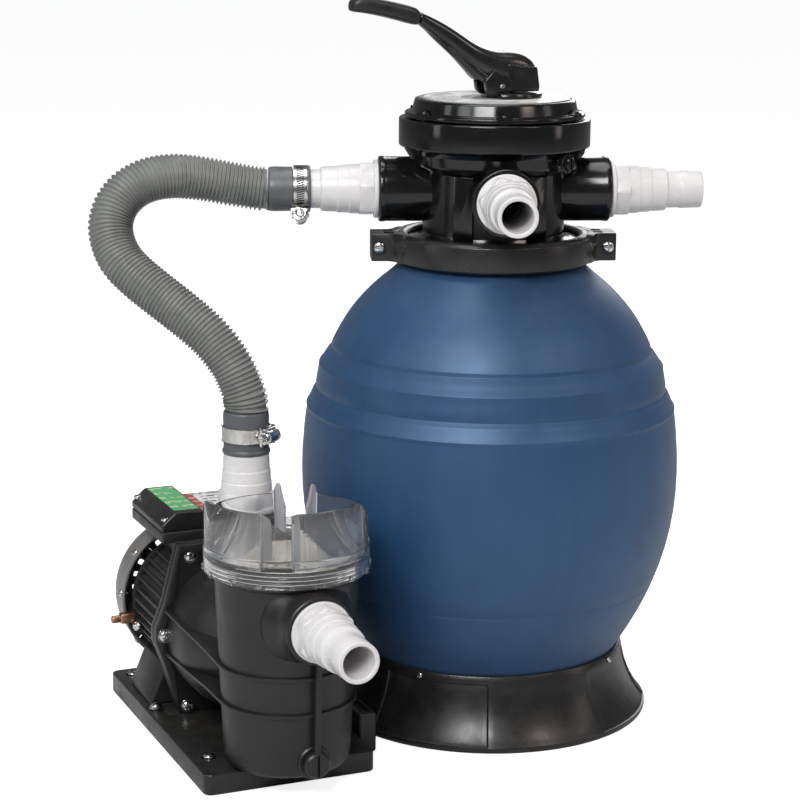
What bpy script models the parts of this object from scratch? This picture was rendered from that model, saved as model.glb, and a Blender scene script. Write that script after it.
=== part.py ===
"""Sand filter set: a blow-moulded filter tank with a top-mounted multiport valve, and a
strainer pump on its own base, joined by a corrugated hose.

Lengths are in millimetres and are turned into metres by MM. The origin is on the floor,
under the middle of the set. Two empties carry the pieces: tank_frame stands on the tank's
axis, and pump_frame stands on the middle of the pump base's front edge, with +Y running
back along the motor.
"""
import math

import bmesh
import bpy
from mathutils import Vector

MM = 0.001
MERGE = 0.00001
GAP = 0.3

# Places of the two halves of the set
TANK_X, TANK_Y = 78.6, 88.55
PUMP_X, PUMP_Y = -179.4, -199.7          # from the tank's axis
PUMP_YAW = 19.2

# Tank, its base and the clamp at its neck
TANK_R = 165.6
TANK_WALL = 4.0
NECK_BORE = 62.0
FLANGE_R = 80.0
FLANGE_Z = 411.0                         # top of the tank's neck flange
BASE_FOOT_R = 143.0
CLAMP_R = 86.0
CLAMP_Z0, CLAMP_Z1 = 400.5, 425.5
LUG_X = 106.0
LUG_Y = 14.0
CLAMP_SCREW_X = 99.0

# Multiport valve
PORT_Z = 462.0
PORT_R = 27.75
PORT_BORE = 20.6
PORT_REACH = 99.6
VALVE_R = 61.0
BAND_R = 78.3
COVER_Z = 540.0
HANDLE_TURN = 12.0
PIN_X, PIN_Z = 1.0, 551.0
GAUGE_Z = 490.0
GAUGE_TURN = (90.0, 0.0, 45.0)

# Hose adaptors and the hose
ADAPTOR_REACH = 80.6
ADAPTOR_BORE = 12.75
TAIL_R = 16.5
TAIL_LENGTH = 31.7
HOSE_R = 19.0
CUFF_R = 19.0
CUFF_LENGTH = 36.0
UPPER_CUFF_X = -158.0                    # the upper cuff's outer end, from the tank's axis
LOWER_CUFF_Z = 254.3
HOSE_ROUTE = [                           # from the tank's axis, upper end to lower end
    (-200.3, 0.0, 462.0), (-222.0, -1.4, 465.8), (-252.3, -5.5, 471.8), (-276.0, -11.5, 474.3),
    (-296.9, -18.5, 471.5), (-313.0, -25.0, 463.0), (-323.0, -31.5, 450.5), (-326.8, -38.0, 436.5),
    (-324.6, -45.0, 422.5), (-317.5, -53.0, 409.0), (-305.5, -60.5, 397.3), (-287.5, -69.5, 383.8),
    (-261.5, -81.0, 365.0), (-241.5, -89.0, 347.5), (-226.0, -95.5, 327.0), (-217.0, -98.4, 307.0)]

# Pump
BASE_WIDTH, BASE_LENGTH, BASE_H = 148.0, 273.0, 17.5
POT_Y = 11.0
POT_TOP_R, POT_FOOT_R = 58.5, 51.5
POT_Z0, POT_Z1 = 18.5, 181.0
INLET_Z = 150.5
INLET_REACH = 76.0
AXIS_Z = 90.0
VOLUTE_R = 61.0
OUTLET_Y = 107.0
OUTLET_Z = 205.0
PLATE_Y = 150.0                          # the flanges' joint face
PLATE_T = 8.0
MOTOR_R = 60.0
MOTOR_Y0, MOTOR_Y1 = 158.6, 250.0
COVER_R = 67.0
COVER_Y1 = 290.0
LID_R = 67.0
LID_Z0, LID_Z1 = 182.0, 202.0
TAB_H = 34.0
LID_TURN = 27.0                          # turns the hand tabs about the lid
DRAIN_X, DRAIN_Z = 4.0, 33.0
BOX_Y0, BOX_Y1 = 186.0, 278.0            # the terminal box, from end to end

for old in list(bpy.data.objects):
    bpy.data.objects.remove(old, do_unlink=True)

PART = bpy.data.collections.new("sand_filter_set")
CUTTERS = bpy.data.collections.new("cutters")
CUTTERS.hide_render = True
for group in (PART, CUTTERS):
    bpy.context.scene.collection.children.link(group)


def finish_of(name, colour, roughness, metallic=0.0, alpha=1.0):
    """A plain Principled material."""
    material = bpy.data.materials.new(name)
    material.use_nodes = True
    shader = material.node_tree.nodes["Principled BSDF"]
    shader.inputs["Base Color"].default_value = (*colour, 1.0)
    shader.inputs["Roughness"].default_value = roughness
    shader.inputs["Metallic"].default_value = metallic
    shader.inputs["Alpha"].default_value = alpha
    material.diffuse_color = (*colour, alpha)
    return material


BLUE = finish_of("tank_blue", (0.035, 0.10, 0.25), 0.38)
GLOSS_BLACK = finish_of("gloss_black", (0.012, 0.012, 0.013), 0.18)
SATIN_BLACK = finish_of("satin_black", (0.022, 0.021, 0.020), 0.45)
PUMP_BLACK = finish_of("pump_black", (0.035, 0.034, 0.034), 0.6)
WHITE = finish_of("white_pvc", (0.85, 0.85, 0.86), 0.3)
HOSE_GREY = finish_of("hose_grey", (0.17, 0.18, 0.17), 0.5)
STEEL = finish_of("stainless_steel", (0.62, 0.62, 0.63), 0.25, 1.0)
LABEL = finish_of("label_white", (0.82, 0.81, 0.78), 0.35)
RUBBER = finish_of("seal_rubber", (0.015, 0.015, 0.015), 0.7)
CLEAR = finish_of("clear_plastic", (0.85, 0.88, 0.90), 0.08, 0.0, 0.35)
CREAM = finish_of("basket_cream", (0.80, 0.79, 0.74), 0.45)
FAN_GREY = finish_of("cover_grey", (0.10, 0.10, 0.11), 0.5)
BRASS = finish_of("brass", (0.45, 0.28, 0.16), 0.4, 1.0)
CORE = finish_of("motor_core", (0.20, 0.18, 0.17), 0.5, 0.8)


def frame_at(name, place, yaw=0.0, parent=None):
    """An empty that carries pieces."""
    empty = bpy.data.objects.new(name, None)
    empty.empty_display_size = 0.05
    empty.location = Vector(place) * MM
    empty.rotation_euler = (0.0, 0.0, math.radians(yaw))
    empty.parent = parent
    PART.objects.link(empty)
    return empty


TANK = frame_at("tank_frame", (TANK_X, TANK_Y, 0.0))
PUMP = frame_at("pump_frame", (TANK_X + PUMP_X, TANK_Y + PUMP_Y, 0.0), PUMP_YAW)
HANDLE = frame_at("handle_frame", (0.0, 0.0, 0.0), HANDLE_TURN, TANK)

ALONG_X = (0.0, 90.0, 0.0)               # turns an upright piece so that its top points to +X
ALONG_MINUS_X = (0.0, -90.0, 0.0)
ALONG_Y = (-90.0, 0.0, 0.0)
ALONG_MINUS_Y = (90.0, 0.0, 0.0)


def place(name, mesh, material, parent, at=(0, 0, 0), turn=(0, 0, 0), smooth=True):
    """Puts a mesh in the set as the node called name; with no material it is a cutter."""
    obj = bpy.data.objects.new(name, mesh)
    obj.parent = parent
    obj.location = Vector(at) * MM
    obj.rotation_euler = [math.radians(angle) for angle in turn]
    if material is None:
        obj.hide_render = True
        obj.display_type = "WIRE"
        CUTTERS.objects.link(obj)
    else:
        mesh.materials.append(material)
        PART.objects.link(obj)
        if smooth and mesh.polygons:
            mesh.shade_smooth()
            mesh.set_sharp_from_angle(angle=math.radians(35))
    return obj


def modifier(obj, kind, **settings):
    added = obj.modifiers.new(kind.lower(), kind)
    for key, value in settings.items():
        setattr(added, key, value)
    return added


def turned(name, outline, material, parent, at=(0, 0, 0), turn=(0, 0, 0), steps=32):
    """A turned piece. outline lists (radius, height), always with the outer side running down
    and the inner side running up; it is a closed loop unless it starts and ends on the axis."""
    mesh = bpy.data.meshes.new(name)
    bm = bmesh.new()
    points = [bm.verts.new((radius * MM, 0.0, height * MM)) for radius, height in outline]
    closed = outline[0][0] > 0.0
    pairs = list(zip(points, points[1:]))
    if closed:
        pairs.append((points[-1], points[0]))
    for pair in pairs:
        bm.edges.new(pair)
    bm.to_mesh(mesh)
    bm.free()
    obj = place(name, mesh, material, parent, at, turn)
    modifier(obj, "SCREW", axis="Z", angle=2.0 * math.pi, steps=steps, render_steps=steps,
             use_merge_vertices=True, merge_threshold=MERGE, use_smooth_shade=True)
    return obj


def ring(name, outer, inner, low, high, material, parent, at=(0, 0, 0), turn=(0, 0, 0), steps=32):
    outline = [(outer, high), (outer, low), (inner, low), (inner, high)]
    return turned(name, outline, material, parent, at, turn, steps)


def cone(name, low_r, high_r, low, high, material, parent, at=(0, 0, 0), turn=(0, 0, 0), steps=32):
    """A solid cylinder or cone between two heights on its own axis."""
    mesh = bpy.data.meshes.new(name)
    bm = bmesh.new()
    bmesh.ops.create_cone(bm, cap_ends=True, segments=steps, radius1=low_r * MM,
                          radius2=high_r * MM, depth=(high - low) * MM)
    bmesh.ops.translate(bm, verts=bm.verts, vec=(0.0, 0.0, 0.5 * (low + high) * MM))
    bm.to_mesh(mesh)
    bm.free()
    return place(name, mesh, material, parent, at, turn)


def block(name, low, high, material, parent, bevel=0.0, segments=2, at=(0, 0, 0), turn=(0, 0, 0)):
    """A box between two corners, with rounded edges."""
    low, high = Vector(low), Vector(high)
    mesh = bpy.data.meshes.new(name)
    bm = bmesh.new()
    bmesh.ops.create_cube(bm, size=1.0)
    bmesh.ops.scale(bm, verts=bm.verts, vec=(high - low) * MM)
    bmesh.ops.translate(bm, verts=bm.verts, vec=(high + low) * 0.5 * MM)
    bm.to_mesh(mesh)
    bm.free()
    obj = place(name, mesh, material, parent, at, turn)
    if bevel:
        modifier(obj, "BEVEL", width=bevel * MM, segments=segments, limit_method="ANGLE")
    return obj


def slab(name, outline, thickness, material, parent, at=(0, 0, 0), turn=(0, 0, 0), bevel=0.0):
    """A flat outline, given in its own XY plane, with this thickness about that plane."""
    curve = bpy.data.curves.new(name, "CURVE")
    curve.dimensions = "2D"
    curve.fill_mode = "BOTH"
    curve.extrude = 0.5 * thickness * MM
    spline = curve.splines.new("POLY")
    spline.points.add(len(outline) - 1)
    for point, (x, y) in zip(spline.points, outline):
        point.co = (x * MM, y * MM, 0.0, 1.0)
    spline.use_cyclic_u = True
    guide = bpy.data.objects.new(name + "_outline", curve)
    PART.objects.link(guide)
    bpy.context.view_layer.update()
    evaluated = guide.evaluated_get(bpy.context.evaluated_depsgraph_get())
    mesh = bpy.data.meshes.new_from_object(evaluated)
    bpy.data.objects.remove(guide, do_unlink=True)
    bm = bmesh.new()
    bm.from_mesh(mesh)
    bmesh.ops.remove_doubles(bm, verts=bm.verts, dist=MERGE)
    bmesh.ops.recalc_face_normals(bm, faces=bm.faces)
    bm.to_mesh(mesh)
    bm.free()
    mesh.materials.clear()
    obj = place(name, mesh, material, parent, at, turn)
    if bevel:
        modifier(obj, "BEVEL", width=bevel * MM, segments=1, limit_method="ANGLE")
    return obj


def wire(name, points, radius, material, parent, rounding=2, at=(0, 0, 0), turn=(0, 0, 0)):
    """A round bar or hose along the points."""
    curve = bpy.data.curves.new(name, "CURVE")
    curve.dimensions = "3D"
    curve.bevel_depth = radius * MM
    curve.bevel_resolution = rounding
    curve.use_fill_caps = True
    spline = curve.splines.new("POLY")
    spline.points.add(len(points) - 1)
    for point, where in zip(spline.points, points):
        point.co = (*(Vector(where) * MM), 1.0)
    curve.materials.append(material)
    obj = bpy.data.objects.new(name, curve)
    obj.parent = parent
    obj.location = Vector(at) * MM
    obj.rotation_euler = [math.radians(angle) for angle in turn]
    PART.objects.link(obj)
    return obj


def cut(obj, *cutters):
    for cutter in cutters:
        modifier(obj, "BOOLEAN", operation="DIFFERENCE", object=cutter, solver="EXACT")


def join(obj, *tools):
    """Unites obj with other shapes, which become helpers."""
    for tool in tools:
        modifier(obj, "BOOLEAN", operation="UNION", object=tool, solver="EXACT")


def arc(centre, radius, start, end, count):
    """Points on a circle, from angle start to angle end in degrees."""
    angles = [math.radians(start + (end - start) * i / (count - 1)) for i in range(count)]
    return [(centre[0] + radius * math.cos(a), centre[1] + radius * math.sin(a)) for a in angles]


# ---------------------------------------------------------------- tank and its base

def tank_radius(height):
    """The tank's outer radius: a soft egg, fullest at its waist and narrowing to the neck."""
    waist = 215.0
    if height >= waist:
        return TANK_R * (1.0 - ((height - waist) / 203.0) ** 2.116) ** (1.0 / 2.073)
    return TANK_R * (1.0 - ((waist - height) / 276.5) ** 2.096)


def tank():
    inside = [(0.0, 37.5), (79.0, 42.5), (101.5, 51.0)]
    inside += [(tank_radius(z) - TANK_WALL, z) for z in (88, 140, 215, 290, 340, 376)]
    mouth = [(NECK_BORE, 396.0), (NECK_BORE, FLANGE_Z), (FLANGE_R, FLANGE_Z), (FLANGE_R, FLANGE_Z - 8.0)]
    shoulder = [(73.0, FLANGE_Z - 8.0), (73.0, 399.8), (79.5, 397.4), (84.5, 393.4)]
    body = [(tank_radius(z), z) for z in (388, 376, 358, 335, 305, 270, 230, 190, 150, 115, 85)]
    foot = [(117.0, 60.0), (104.0, 47.0), (80.0, 38.0), (0.0, 33.0)]
    turned("tank_body", inside + mouth + shoulder + body + foot, BLUE, TANK, steps=36)

    skirt = [(118.8, 59.6), (122.0, 47.0), (127.6, 30.0), (135.5, 16.0), (BASE_FOOT_R, 5.0),
             (BASE_FOOT_R, 0.0), (137.5, 0.0), (130.5, 14.0), (123.0, 28.0), (117.5, 46.0),
             (112.0, 46.0), (104.6, 46.4), (117.6, 59.4)]
    turned("tank_base", skirt, SATIN_BLACK, TANK, steps=36)

    rest = [(70.0, 413.4), (70.0, FLANGE_Z + GAP), (64.0, FLANGE_Z + GAP), (64.0, 413.4)]
    turned("neck_seal", rest, RUBBER, TANK, steps=24)


def underdrain():
    """The standpipe and the hub with its slotted side arms at the tank's floor."""
    ring("standpipe", 16.0, 13.0, 70.3, 404.0, WHITE, TANK, steps=16)
    hub = turned("lateral_hub", [(0.0, 62.0), (13.0, 62.0), (13.0, 70.0), (22.0, 70.0), (22.0, 44.5),
                                 (0.0, 44.5)], WHITE, TANK, steps=16)
    for i in range(6):
        arm = cone(f"lateral_arm_{i}", 6.0, 6.0, 15.0, 88.0, None, TANK, (0, 0, 56.0),
                   (0.0, 90.0, 15.0 + 60.0 * i), 8)
        join(hub, arm)


def neck_clamp():
    """Two half rings round the neck flange, drawn together by a screw and nut at each lug."""
    middle = 0.5 * (CLAMP_Z0 + CLAMP_Z1)
    section = [(CLAMP_R, CLAMP_Z1 - 2.0), (CLAMP_R, CLAMP_Z0 + 1.5), (84.0, CLAMP_Z0), (74.0, CLAMP_Z0),
               (74.0, 402.6), (80.8, 402.6), (80.8, 421.6), (74.0, 421.6), (74.0, CLAMP_Z1),
               (83.5, CLAMP_Z1)]
    for name, side in (("clamp_half_front", -1), ("clamp_half_rear", 1)):
        half = turned(name, section, SATIN_BLACK, TANK, steps=40)
        for end in (-1, 1):
            inner, outer = sorted((end * 84.0, end * LUG_X))
            near, far = sorted((side * 0.1, side * LUG_Y))
            lug = block(f"{name}_lug", (inner, near, CLAMP_Z0 + 0.4), (outer, far, CLAMP_Z1 - 0.4),
                        None, TANK)
            join(half, lug)
        low, high = sorted((side * 0.4, side * -120.0))
        away = block(f"{name}_other_side", (-130.0, low, 380.0), (130.0, high, 440.0), None, TANK)
        cut(half, away)
        for end in (-1, 1):
            hole = cone(f"{name}_hole", 3.1, 3.1, -40.0, 40.0, None, TANK, (end * CLAMP_SCREW_X, 0, middle),
                        ALONG_Y, 12)
            cut(half, hole)
    for side, x in (("left", -CLAMP_SCREW_X), ("right", CLAMP_SCREW_X)):
        screw = [(0.0, 18.4), (4.2, 18.0), (4.8, 15.4), (4.8, 14.4), (2.5, 14.4), (2.5, -21.0),
                 (0.0, -21.0)]
        turned(f"clamp_screw_{side}", screw, STEEL, TANK, (x, 0, middle), ALONG_MINUS_Y, 12)
        ring(f"clamp_nut_{side}", 5.0, 2.9, -18.6, -14.4, STEEL, TANK, (x, 0, middle), ALONG_MINUS_Y, 6)


# ---------------------------------------------------------------- multiport valve

def ports(obj):
    """The three side ports, open through to the chamber."""
    for turn in (ALONG_X, ALONG_MINUS_X, ALONG_MINUS_Y):
        join(obj, cone("port", PORT_R, PORT_R, 52.0, PORT_REACH, None, TANK, (0, 0, PORT_Z), turn, 24))


def valve_body():
    """The valve's housing: a chamber under a wide drum, with its foot in the neck clamp."""
    chamber = 55.0
    outline = [(0.0, 434.0), (chamber, 434.0), (chamber, 518.0), (74.0, 518.0), (74.0, 524.0),
               (BAND_R, 524.0), (BAND_R, 502.0), (73.0, 500.5), (71.0, 484.0), (VALVE_R, 478.0),
               (VALVE_R, 424.0), (66.0, 420.8), (FLANGE_R, 420.8), (FLANGE_R, FLANGE_Z + 3.0),
               (50.0, FLANGE_Z + 3.0), (50.0, 428.0), (0.0, 428.0)]
    body = turned("valve_body", outline, GLOSS_BLACK, TANK, steps=32)
    ports(body)
    for turn in (ALONG_X, ALONG_MINUS_X, ALONG_MINUS_Y):
        cut(body, cone("port_bore", PORT_BORE, PORT_BORE, 40.0, 110.0, None, TANK, (0, 0, PORT_Z), turn, 16))
    # passages through the divider: the standpipe's socket and the way down to the sand
    cut(body, cone("pipe_passage", 11.0, 11.0, 420.0, 440.0, None, TANK, steps=16))
    cut(body, cone("sand_passage", 10.0, 10.0, 420.0, 440.0, None, TANK, (0, 32.0, 0), steps=16))
    cut(body, cone("gauge_tap", 5.0, 5.0, 60.0, 90.0, None, TANK, (0, 0, GAUGE_Z), GAUGE_TURN, 12))


def valve_inside():
    """What the handle turns: a rotor that seals on the spider gasket, with spring and washer."""
    spider = ring("spider_gasket", 52.0, 40.0, 434.3, 437.3, RUBBER, TANK, steps=24)
    for turn in (0.0, 90.0):
        join(spider, block("spider_spoke", (-46.0, -2.5, 434.3), (46.0, 2.5, 437.3), None, TANK,
                           turn=(0, 0, turn)))
    stem_top = PIN_Z + 5.0
    outline = [(0.0, stem_top), (7.5, stem_top), (7.5, 474.0), (20.0, 474.0), (20.0, 452.0),
               (51.0, 448.0), (51.0, 437.6), (0.0, 437.6)]
    rotor = turned("valve_rotor", outline, WHITE, HANDLE)
    cut(rotor, cone("rotor_window", 12.0, 12.0, 430.0, 460.0, None, HANDLE, (0, 33.0, 0), steps=16))
    cut(rotor, cone("stem_pin_hole", 2.6, 2.6, -20.0, 20.0, None, HANDLE, (PIN_X, 0, PIN_Z), ALONG_Y, 12))
    turns, points, coil_r = 3, 8, 12.0
    low, high = 475.8, 516.2
    coil = []
    for i in range(turns * points + 1):
        angle = 2.0 * math.pi * i / points
        coil.append((coil_r * math.cos(angle), coil_r * math.sin(angle),
                     low + (high - low) * i / (turns * points)))
    wire("valve_spring", coil, 1.3, STEEL, HANDLE)
    ring("spring_washer", 16.0, 8.0, 518.0, 519.6, STEEL, HANDLE, steps=16)


def valve_cover():
    outline = [(68.6, COVER_Z), (70.0, COVER_Z - 1.5), (70.4, 530.0), (77.2, 528.6), (77.2, 524.4),
               (73.4, 524.4), (73.4, 520.0), (8.3, 520.0), (8.3, COVER_Z)]
    turned("valve_cover", outline, GLOSS_BLACK, TANK, steps=32)
    ring("cover_label", 64.0, 12.0, COVER_Z + GAP, COVER_Z + GAP + 0.6, LABEL, TANK, steps=32)


def gauge_plug():
    """The plug that closes the pressure gauge's tapping."""
    outline = [(0.0, 83.0), (5.0, 83.0), (8.5, 80.0), (8.5, 75.6), (4.2, 75.4), (4.2, 62.0), (0.0, 62.0)]
    turned("gauge_plug", outline, GLOSS_BLACK, TANK, (0, 0, GAUGE_Z), GAUGE_TURN, 12)


def handle():
    """The lever, its grip and pin, and the index plate it stands on."""
    plate_z0, plate_z1 = COVER_Z + 1.3, COVER_Z + 5.0
    plate = cone("index_plate", 27.0, 27.0, plate_z0, plate_z1, SATIN_BLACK, HANDLE, (10.0, 0, 0), steps=24)
    cut(plate, cone("index_plate_eye", 8.6, 8.6, 530.0, 550.0, None, HANDLE, steps=16))
    cut(plate, block("index_plate_notch", (-30.0, -30.0, 530.0), (-3.5, 30.0, 550.0), None, HANDLE))

    # side view of the lever, seen from the front with the grip to the left
    arm = [(-68.6, 614.0), (-44.0, 602.5), (-18.0, 585.5), (-6.0, 579.5), (8.0, 577.5), (29.0, 568.5),
           (33.5, 555.0), (34.0, 546.3), (-4.0, 546.3), (-26.0, 561.0), (-36.5, 574.0), (-55.0, 590.5),
           (-72.0, 601.5)]
    lever = slab("lever", arm, 18.0, SATIN_BLACK, HANDLE, turn=(90, 0, 0), bevel=2.0)
    head = [(-22.0, 572.0), (-6.0, 578.5), (8.0, 576.5), (27.5, 567.5), (32.5, 555.0), (33.0, 546.8),
            (-3.0, 546.8), (-11.0, 541.6), (-14.0, 541.6), (-24.0, 556.0)]
    join(lever, slab("lever_head", head, 36.0, None, HANDLE, turn=(90, 0, 0), bevel=4.0))
    tang = [(-60.0, 610.0), (-108.0, 620.5), (-108.0, 615.5), (-60.0, 600.0)]
    join(lever, slab("lever_tang", tang, 8.0, None, HANDLE, turn=(90, 0, 0)))
    cut(lever, block("stem_slot", (-13.0, -8.6, 530.0), (18.0, 8.6, 562.0), None, HANDLE))
    cut(lever, block("fork_gap", (-40.0, -10.5, 530.0), (-9.0, 10.5, 556.0), None, HANDLE))
    cut(lever, cone("lever_pin_hole", 3.0, 3.0, -30.0, 30.0, None, HANDLE, (PIN_X, 0, PIN_Z), ALONG_Y, 12))
    cone("lever_pin", 2.4, 2.4, -18.6, 18.6, STEEL, HANDLE, (PIN_X, 0, PIN_Z), ALONG_Y, 12)

    grip = [(-122.0, 626.4), (-113.0, 626.0), (-73.0, 617.5), (-69.1, 614.5), (-72.6, 601.6),
            (-100.0, 609.0), (-129.0, 613.6), (-128.0, 618.0)]
    sleeve = slab("lever_grip", grip, 25.0, RUBBER, HANDLE, turn=(90, 0, 0), bevel=2.0)
    pocket = [(-60.0, 610.5), (-108.6, 621.1), (-108.6, 614.9), (-60.0, 599.4)]
    cut(sleeve, slab("grip_pocket", pocket, 8.8, None, HANDLE, turn=(90, 0, 0)))


# ---------------------------------------------------------------- adaptors, hose and hose clamps

def adaptor(name, parent, at, turn):
    """A threaded hose adaptor: thread, collar, hexagon, then the two steps of its tail."""
    reach = ADAPTOR_REACH
    shoulder = reach - TAIL_LENGTH
    outline = [(TAIL_R, reach), (TAIL_R, shoulder), (19.2, shoulder - 1.0), (21.0, 17.2), (25.0, 17.2),
               (25.0, GAP), (19.5, GAP), (19.5, -14.0), (ADAPTOR_BORE, -14.0), (ADAPTOR_BORE, reach)]
    turned(name, outline, WHITE, parent, at, turn, 16)


def adaptors():
    adaptor("adaptor_right", TANK, (PORT_REACH, 0, PORT_Z), ALONG_X)
    adaptor("adaptor_left", TANK, (-PORT_REACH, 0, PORT_Z), ALONG_MINUS_X)
    adaptor("adaptor_front", TANK, (0, -PORT_REACH, PORT_Z), ALONG_MINUS_Y)
    adaptor("adaptor_suction", PUMP, (0, POT_Y - INLET_REACH, INLET_Z), ALONG_MINUS_Y)
    adaptor("adaptor_discharge", PUMP, (0, OUTLET_Y, OUTLET_Z), (0, 0, 0))


def smooth_route(points, per_span):
    """A Catmull-Rom curve through the route's points."""
    points = [Vector(point) for point in points]
    points = [2 * points[0] - points[1], *points, 2 * points[-1] - points[-2]]
    route = []
    for before, start, end, after in zip(points, points[1:], points[2:], points[3:]):
        for i in range(per_span):
            t = i / per_span
            route.append(0.5 * (2 * start + (end - before) * t
                                + (2 * before - 5 * start + 4 * end - after) * t * t
                                + (3 * start - before - 3 * end + after) * t ** 3))
    return [*route, points[-2]]


def hose():
    yaw = math.radians(PUMP_YAW)
    outlet = Vector((PUMP_X - OUTLET_Y * math.sin(yaw), PUMP_Y + OUTLET_Y * math.cos(yaw), 0.0))
    upper = (UPPER_CUFF_X - CUFF_LENGTH - GAP, 0.0, PORT_Z)
    lower = Vector((outlet.x, outlet.y, LOWER_CUFF_Z + CUFF_LENGTH + GAP))
    route = smooth_route([*HOSE_ROUTE, lower + Vector((0.0, 0.0, 6.0))], 2)
    wire("hose", [upper, *route, lower], HOSE_R, HOSE_GREY, TANK)
    for name, at, turn in (("hose_cuff_upper", (UPPER_CUFF_X, 0, PORT_Z), ALONG_MINUS_X),
                           ("hose_cuff_lower", (outlet.x, outlet.y, LOWER_CUFF_Z), (0, 0, 0))):
        ring(name, CUFF_R, TAIL_R + 0.5, 0.0, CUFF_LENGTH, HOSE_GREY, TANK, at, turn, 16)
    hose_clamp("upper", (UPPER_CUFF_X - 9.0, 0, PORT_Z), (0.0, -90.0, 0.0), 205.0)
    hose_clamp("lower", (outlet.x, outlet.y, LOWER_CUFF_Z + 17.0), (0, 0, 0), -35.0)


def hose_clamp(which, at, turn, side):
    """A worm-drive clamp: a band round the cuff with its housing, and the worm screw in it.
    side is the angle of the housing round the hose."""
    frame = frame_at(f"hose_clamp_{which}_frame", (0, 0, 0), 0.0, TANK)
    frame.location = Vector(at) * MM
    frame.rotation_euler = [math.radians(angle) for angle in turn]
    band = ring(f"hose_clamp_{which}", CUFF_R + 1.6, CUFF_R + 0.5, -6.5, 6.5, STEEL, frame, steps=24)
    out = CUFF_R + 5.2
    housing = block(f"hose_clamp_{which}_housing", (CUFF_R + 0.9, -9.0, -7.0), (out + 4.4, 9.0, 7.0),
                    None, frame, bevel=1.2, segments=1, turn=(0, 0, side))
    join(band, housing)
    axis = (out * math.cos(math.radians(side)), out * math.sin(math.radians(side)), 0)
    bore = cone(f"hose_clamp_{which}_bore", 3.4, 3.4, -20.0, 20.0, None, frame, axis, (90, 0, side), 12)
    cut(band, bore)
    worm = [(0.0, 13.6), (3.6, 13.6), (3.6, 10.0), (2.9, 9.6), (2.9, -10.0), (0.0, -10.0)]
    turned(f"hose_clamp_{which}_screw", worm, STEEL, frame, axis, (90, 0, side), 12)


# ---------------------------------------------------------------- pump base

def pump_base():
    half = 0.5 * BASE_WIDTH
    deck = block("pump_base", (-half, 0.0, 0.0), (half, BASE_LENGTH, BASE_H), SATIN_BLACK, PUMP, 5.0)
    skirt = 9.0
    hollow = block("pump_base_hollow", (-half + skirt, skirt, -10.0),
                   (half - skirt, BASE_LENGTH - skirt, BASE_H - 5.0), None, PUMP)
    cut(deck, hollow)

    # the cradle under the motor: a trapezoid with the case's round taken out of it
    seat = MOTOR_R + 1.0
    top = 52.0
    rise = math.degrees(math.acos((AXIS_Z - top) / seat))
    half_top = seat * math.sin(math.radians(rise)) + 5.0
    cradle = [(-66.0, BASE_H + GAP), (66.0, BASE_H + GAP), (half_top, top)]
    cradle += arc((0.0, AXIS_Z), seat, -90.0 + rise, -90.0 - rise, 11)
    cradle.append((-half_top, top))
    slab("motor_foot", cradle, 62.0, SATIN_BLACK, PUMP, (0, 204.0, 0), (90, 0, 0))

    # the coupler that keeps the two bases together
    link = block("base_coupler", (half + GAP, 38.0, 0.0), (half + 17.0, 78.0, 36.0), SATIN_BLACK, PUMP,
                 3.0, 1)
    cut(link, cone("base_coupler_relief", BASE_FOOT_R + 1.2, 119.0, -0.5, 60.0, None, TANK, steps=40))


# ---------------------------------------------------------------- pump housing

def pump_housing():
    """Strainer pot, volute and outlet, moulded in one piece, with its rear flange."""
    pot_at = (0, POT_Y, 0)
    pot = cone("pump_housing", POT_FOOT_R, POT_TOP_R, POT_Z0, POT_Z1, PUMP_BLACK, PUMP, pot_at)
    join(pot, cone("pot_neck", 61.5, 61.5, POT_Z1 - 4.0, 190.0, None, PUMP, pot_at))
    volute = [(0.0, PLATE_Y - 2.0), (VOLUTE_R, PLATE_Y - 2.0), (VOLUTE_R, 102.0), (57.0, 82.0),
              (44.0, 66.0), (36.0, 40.0), (0.0, 40.0)]
    join(pot, turned("volute", volute, None, PUMP, (0, 0, AXIS_Z), ALONG_Y))
    join(pot, cone("outlet", PORT_R, PORT_R, AXIS_Z, OUTLET_Z, None, PUMP, (0, OUTLET_Y, 0), steps=24))
    inlet_at = (0, POT_Y, INLET_Z)
    join(pot, cone("inlet", PORT_R, PORT_R, 30.0, INLET_REACH, None, PUMP, inlet_at, ALONG_MINUS_Y, 24))
    join(pot, slab("housing_flange", plate_outline(), PLATE_T, None, PUMP, (0, PLATE_Y - 0.5 * PLATE_T, 0),
                   (90, 0, 0)))

    cut(pot, cone("pot_inside", POT_FOOT_R - 4.5, POT_TOP_R - 4.0, POT_Z0 + 5.0, 200.0, None, PUMP, pot_at))
    cavity = [(0.0, PLATE_Y + 10.0), (VOLUTE_R - 5.0, PLATE_Y + 10.0), (VOLUTE_R - 5.0, 106.0),
              (50.0, 88.0), (0.0, 88.0)]
    cut(pot, turned("volute_inside", cavity, None, PUMP, (0, 0, AXIS_Z), ALONG_Y))
    cut(pot, cone("suction_eye", 17.0, 17.0, 40.0, 95.0, None, PUMP, (0, 0, AXIS_Z), ALONG_Y, 16))
    cut(pot, cone("outlet_bore", PORT_BORE, PORT_BORE, AXIS_Z + 25.0, 220.0, None, PUMP, (0, OUTLET_Y, 0),
                  steps=16))
    cut(pot, cone("inlet_bore", PORT_BORE, PORT_BORE, 40.0, 90.0, None, PUMP, inlet_at, ALONG_MINUS_Y, 16))
    drain_at = (DRAIN_X, POT_Y, DRAIN_Z)
    cut(pot, cone("drain_bore", 8.2, 8.2, 38.0, 70.0, None, PUMP, drain_at, ALONG_MINUS_Y, 12))


def plate_outline():
    """The rear flange: straight at its top and its foot, widest at the shaft's height."""
    side, top = 70.0, AXIS_Z + 78.0
    foot = BASE_H + 1.0
    return [(-50.0, foot), (50.0, foot), (side, 80.0), (side, 100.0), (48.0, top), (-48.0, top),
            (-side, 100.0), (-side, 80.0)]


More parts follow.
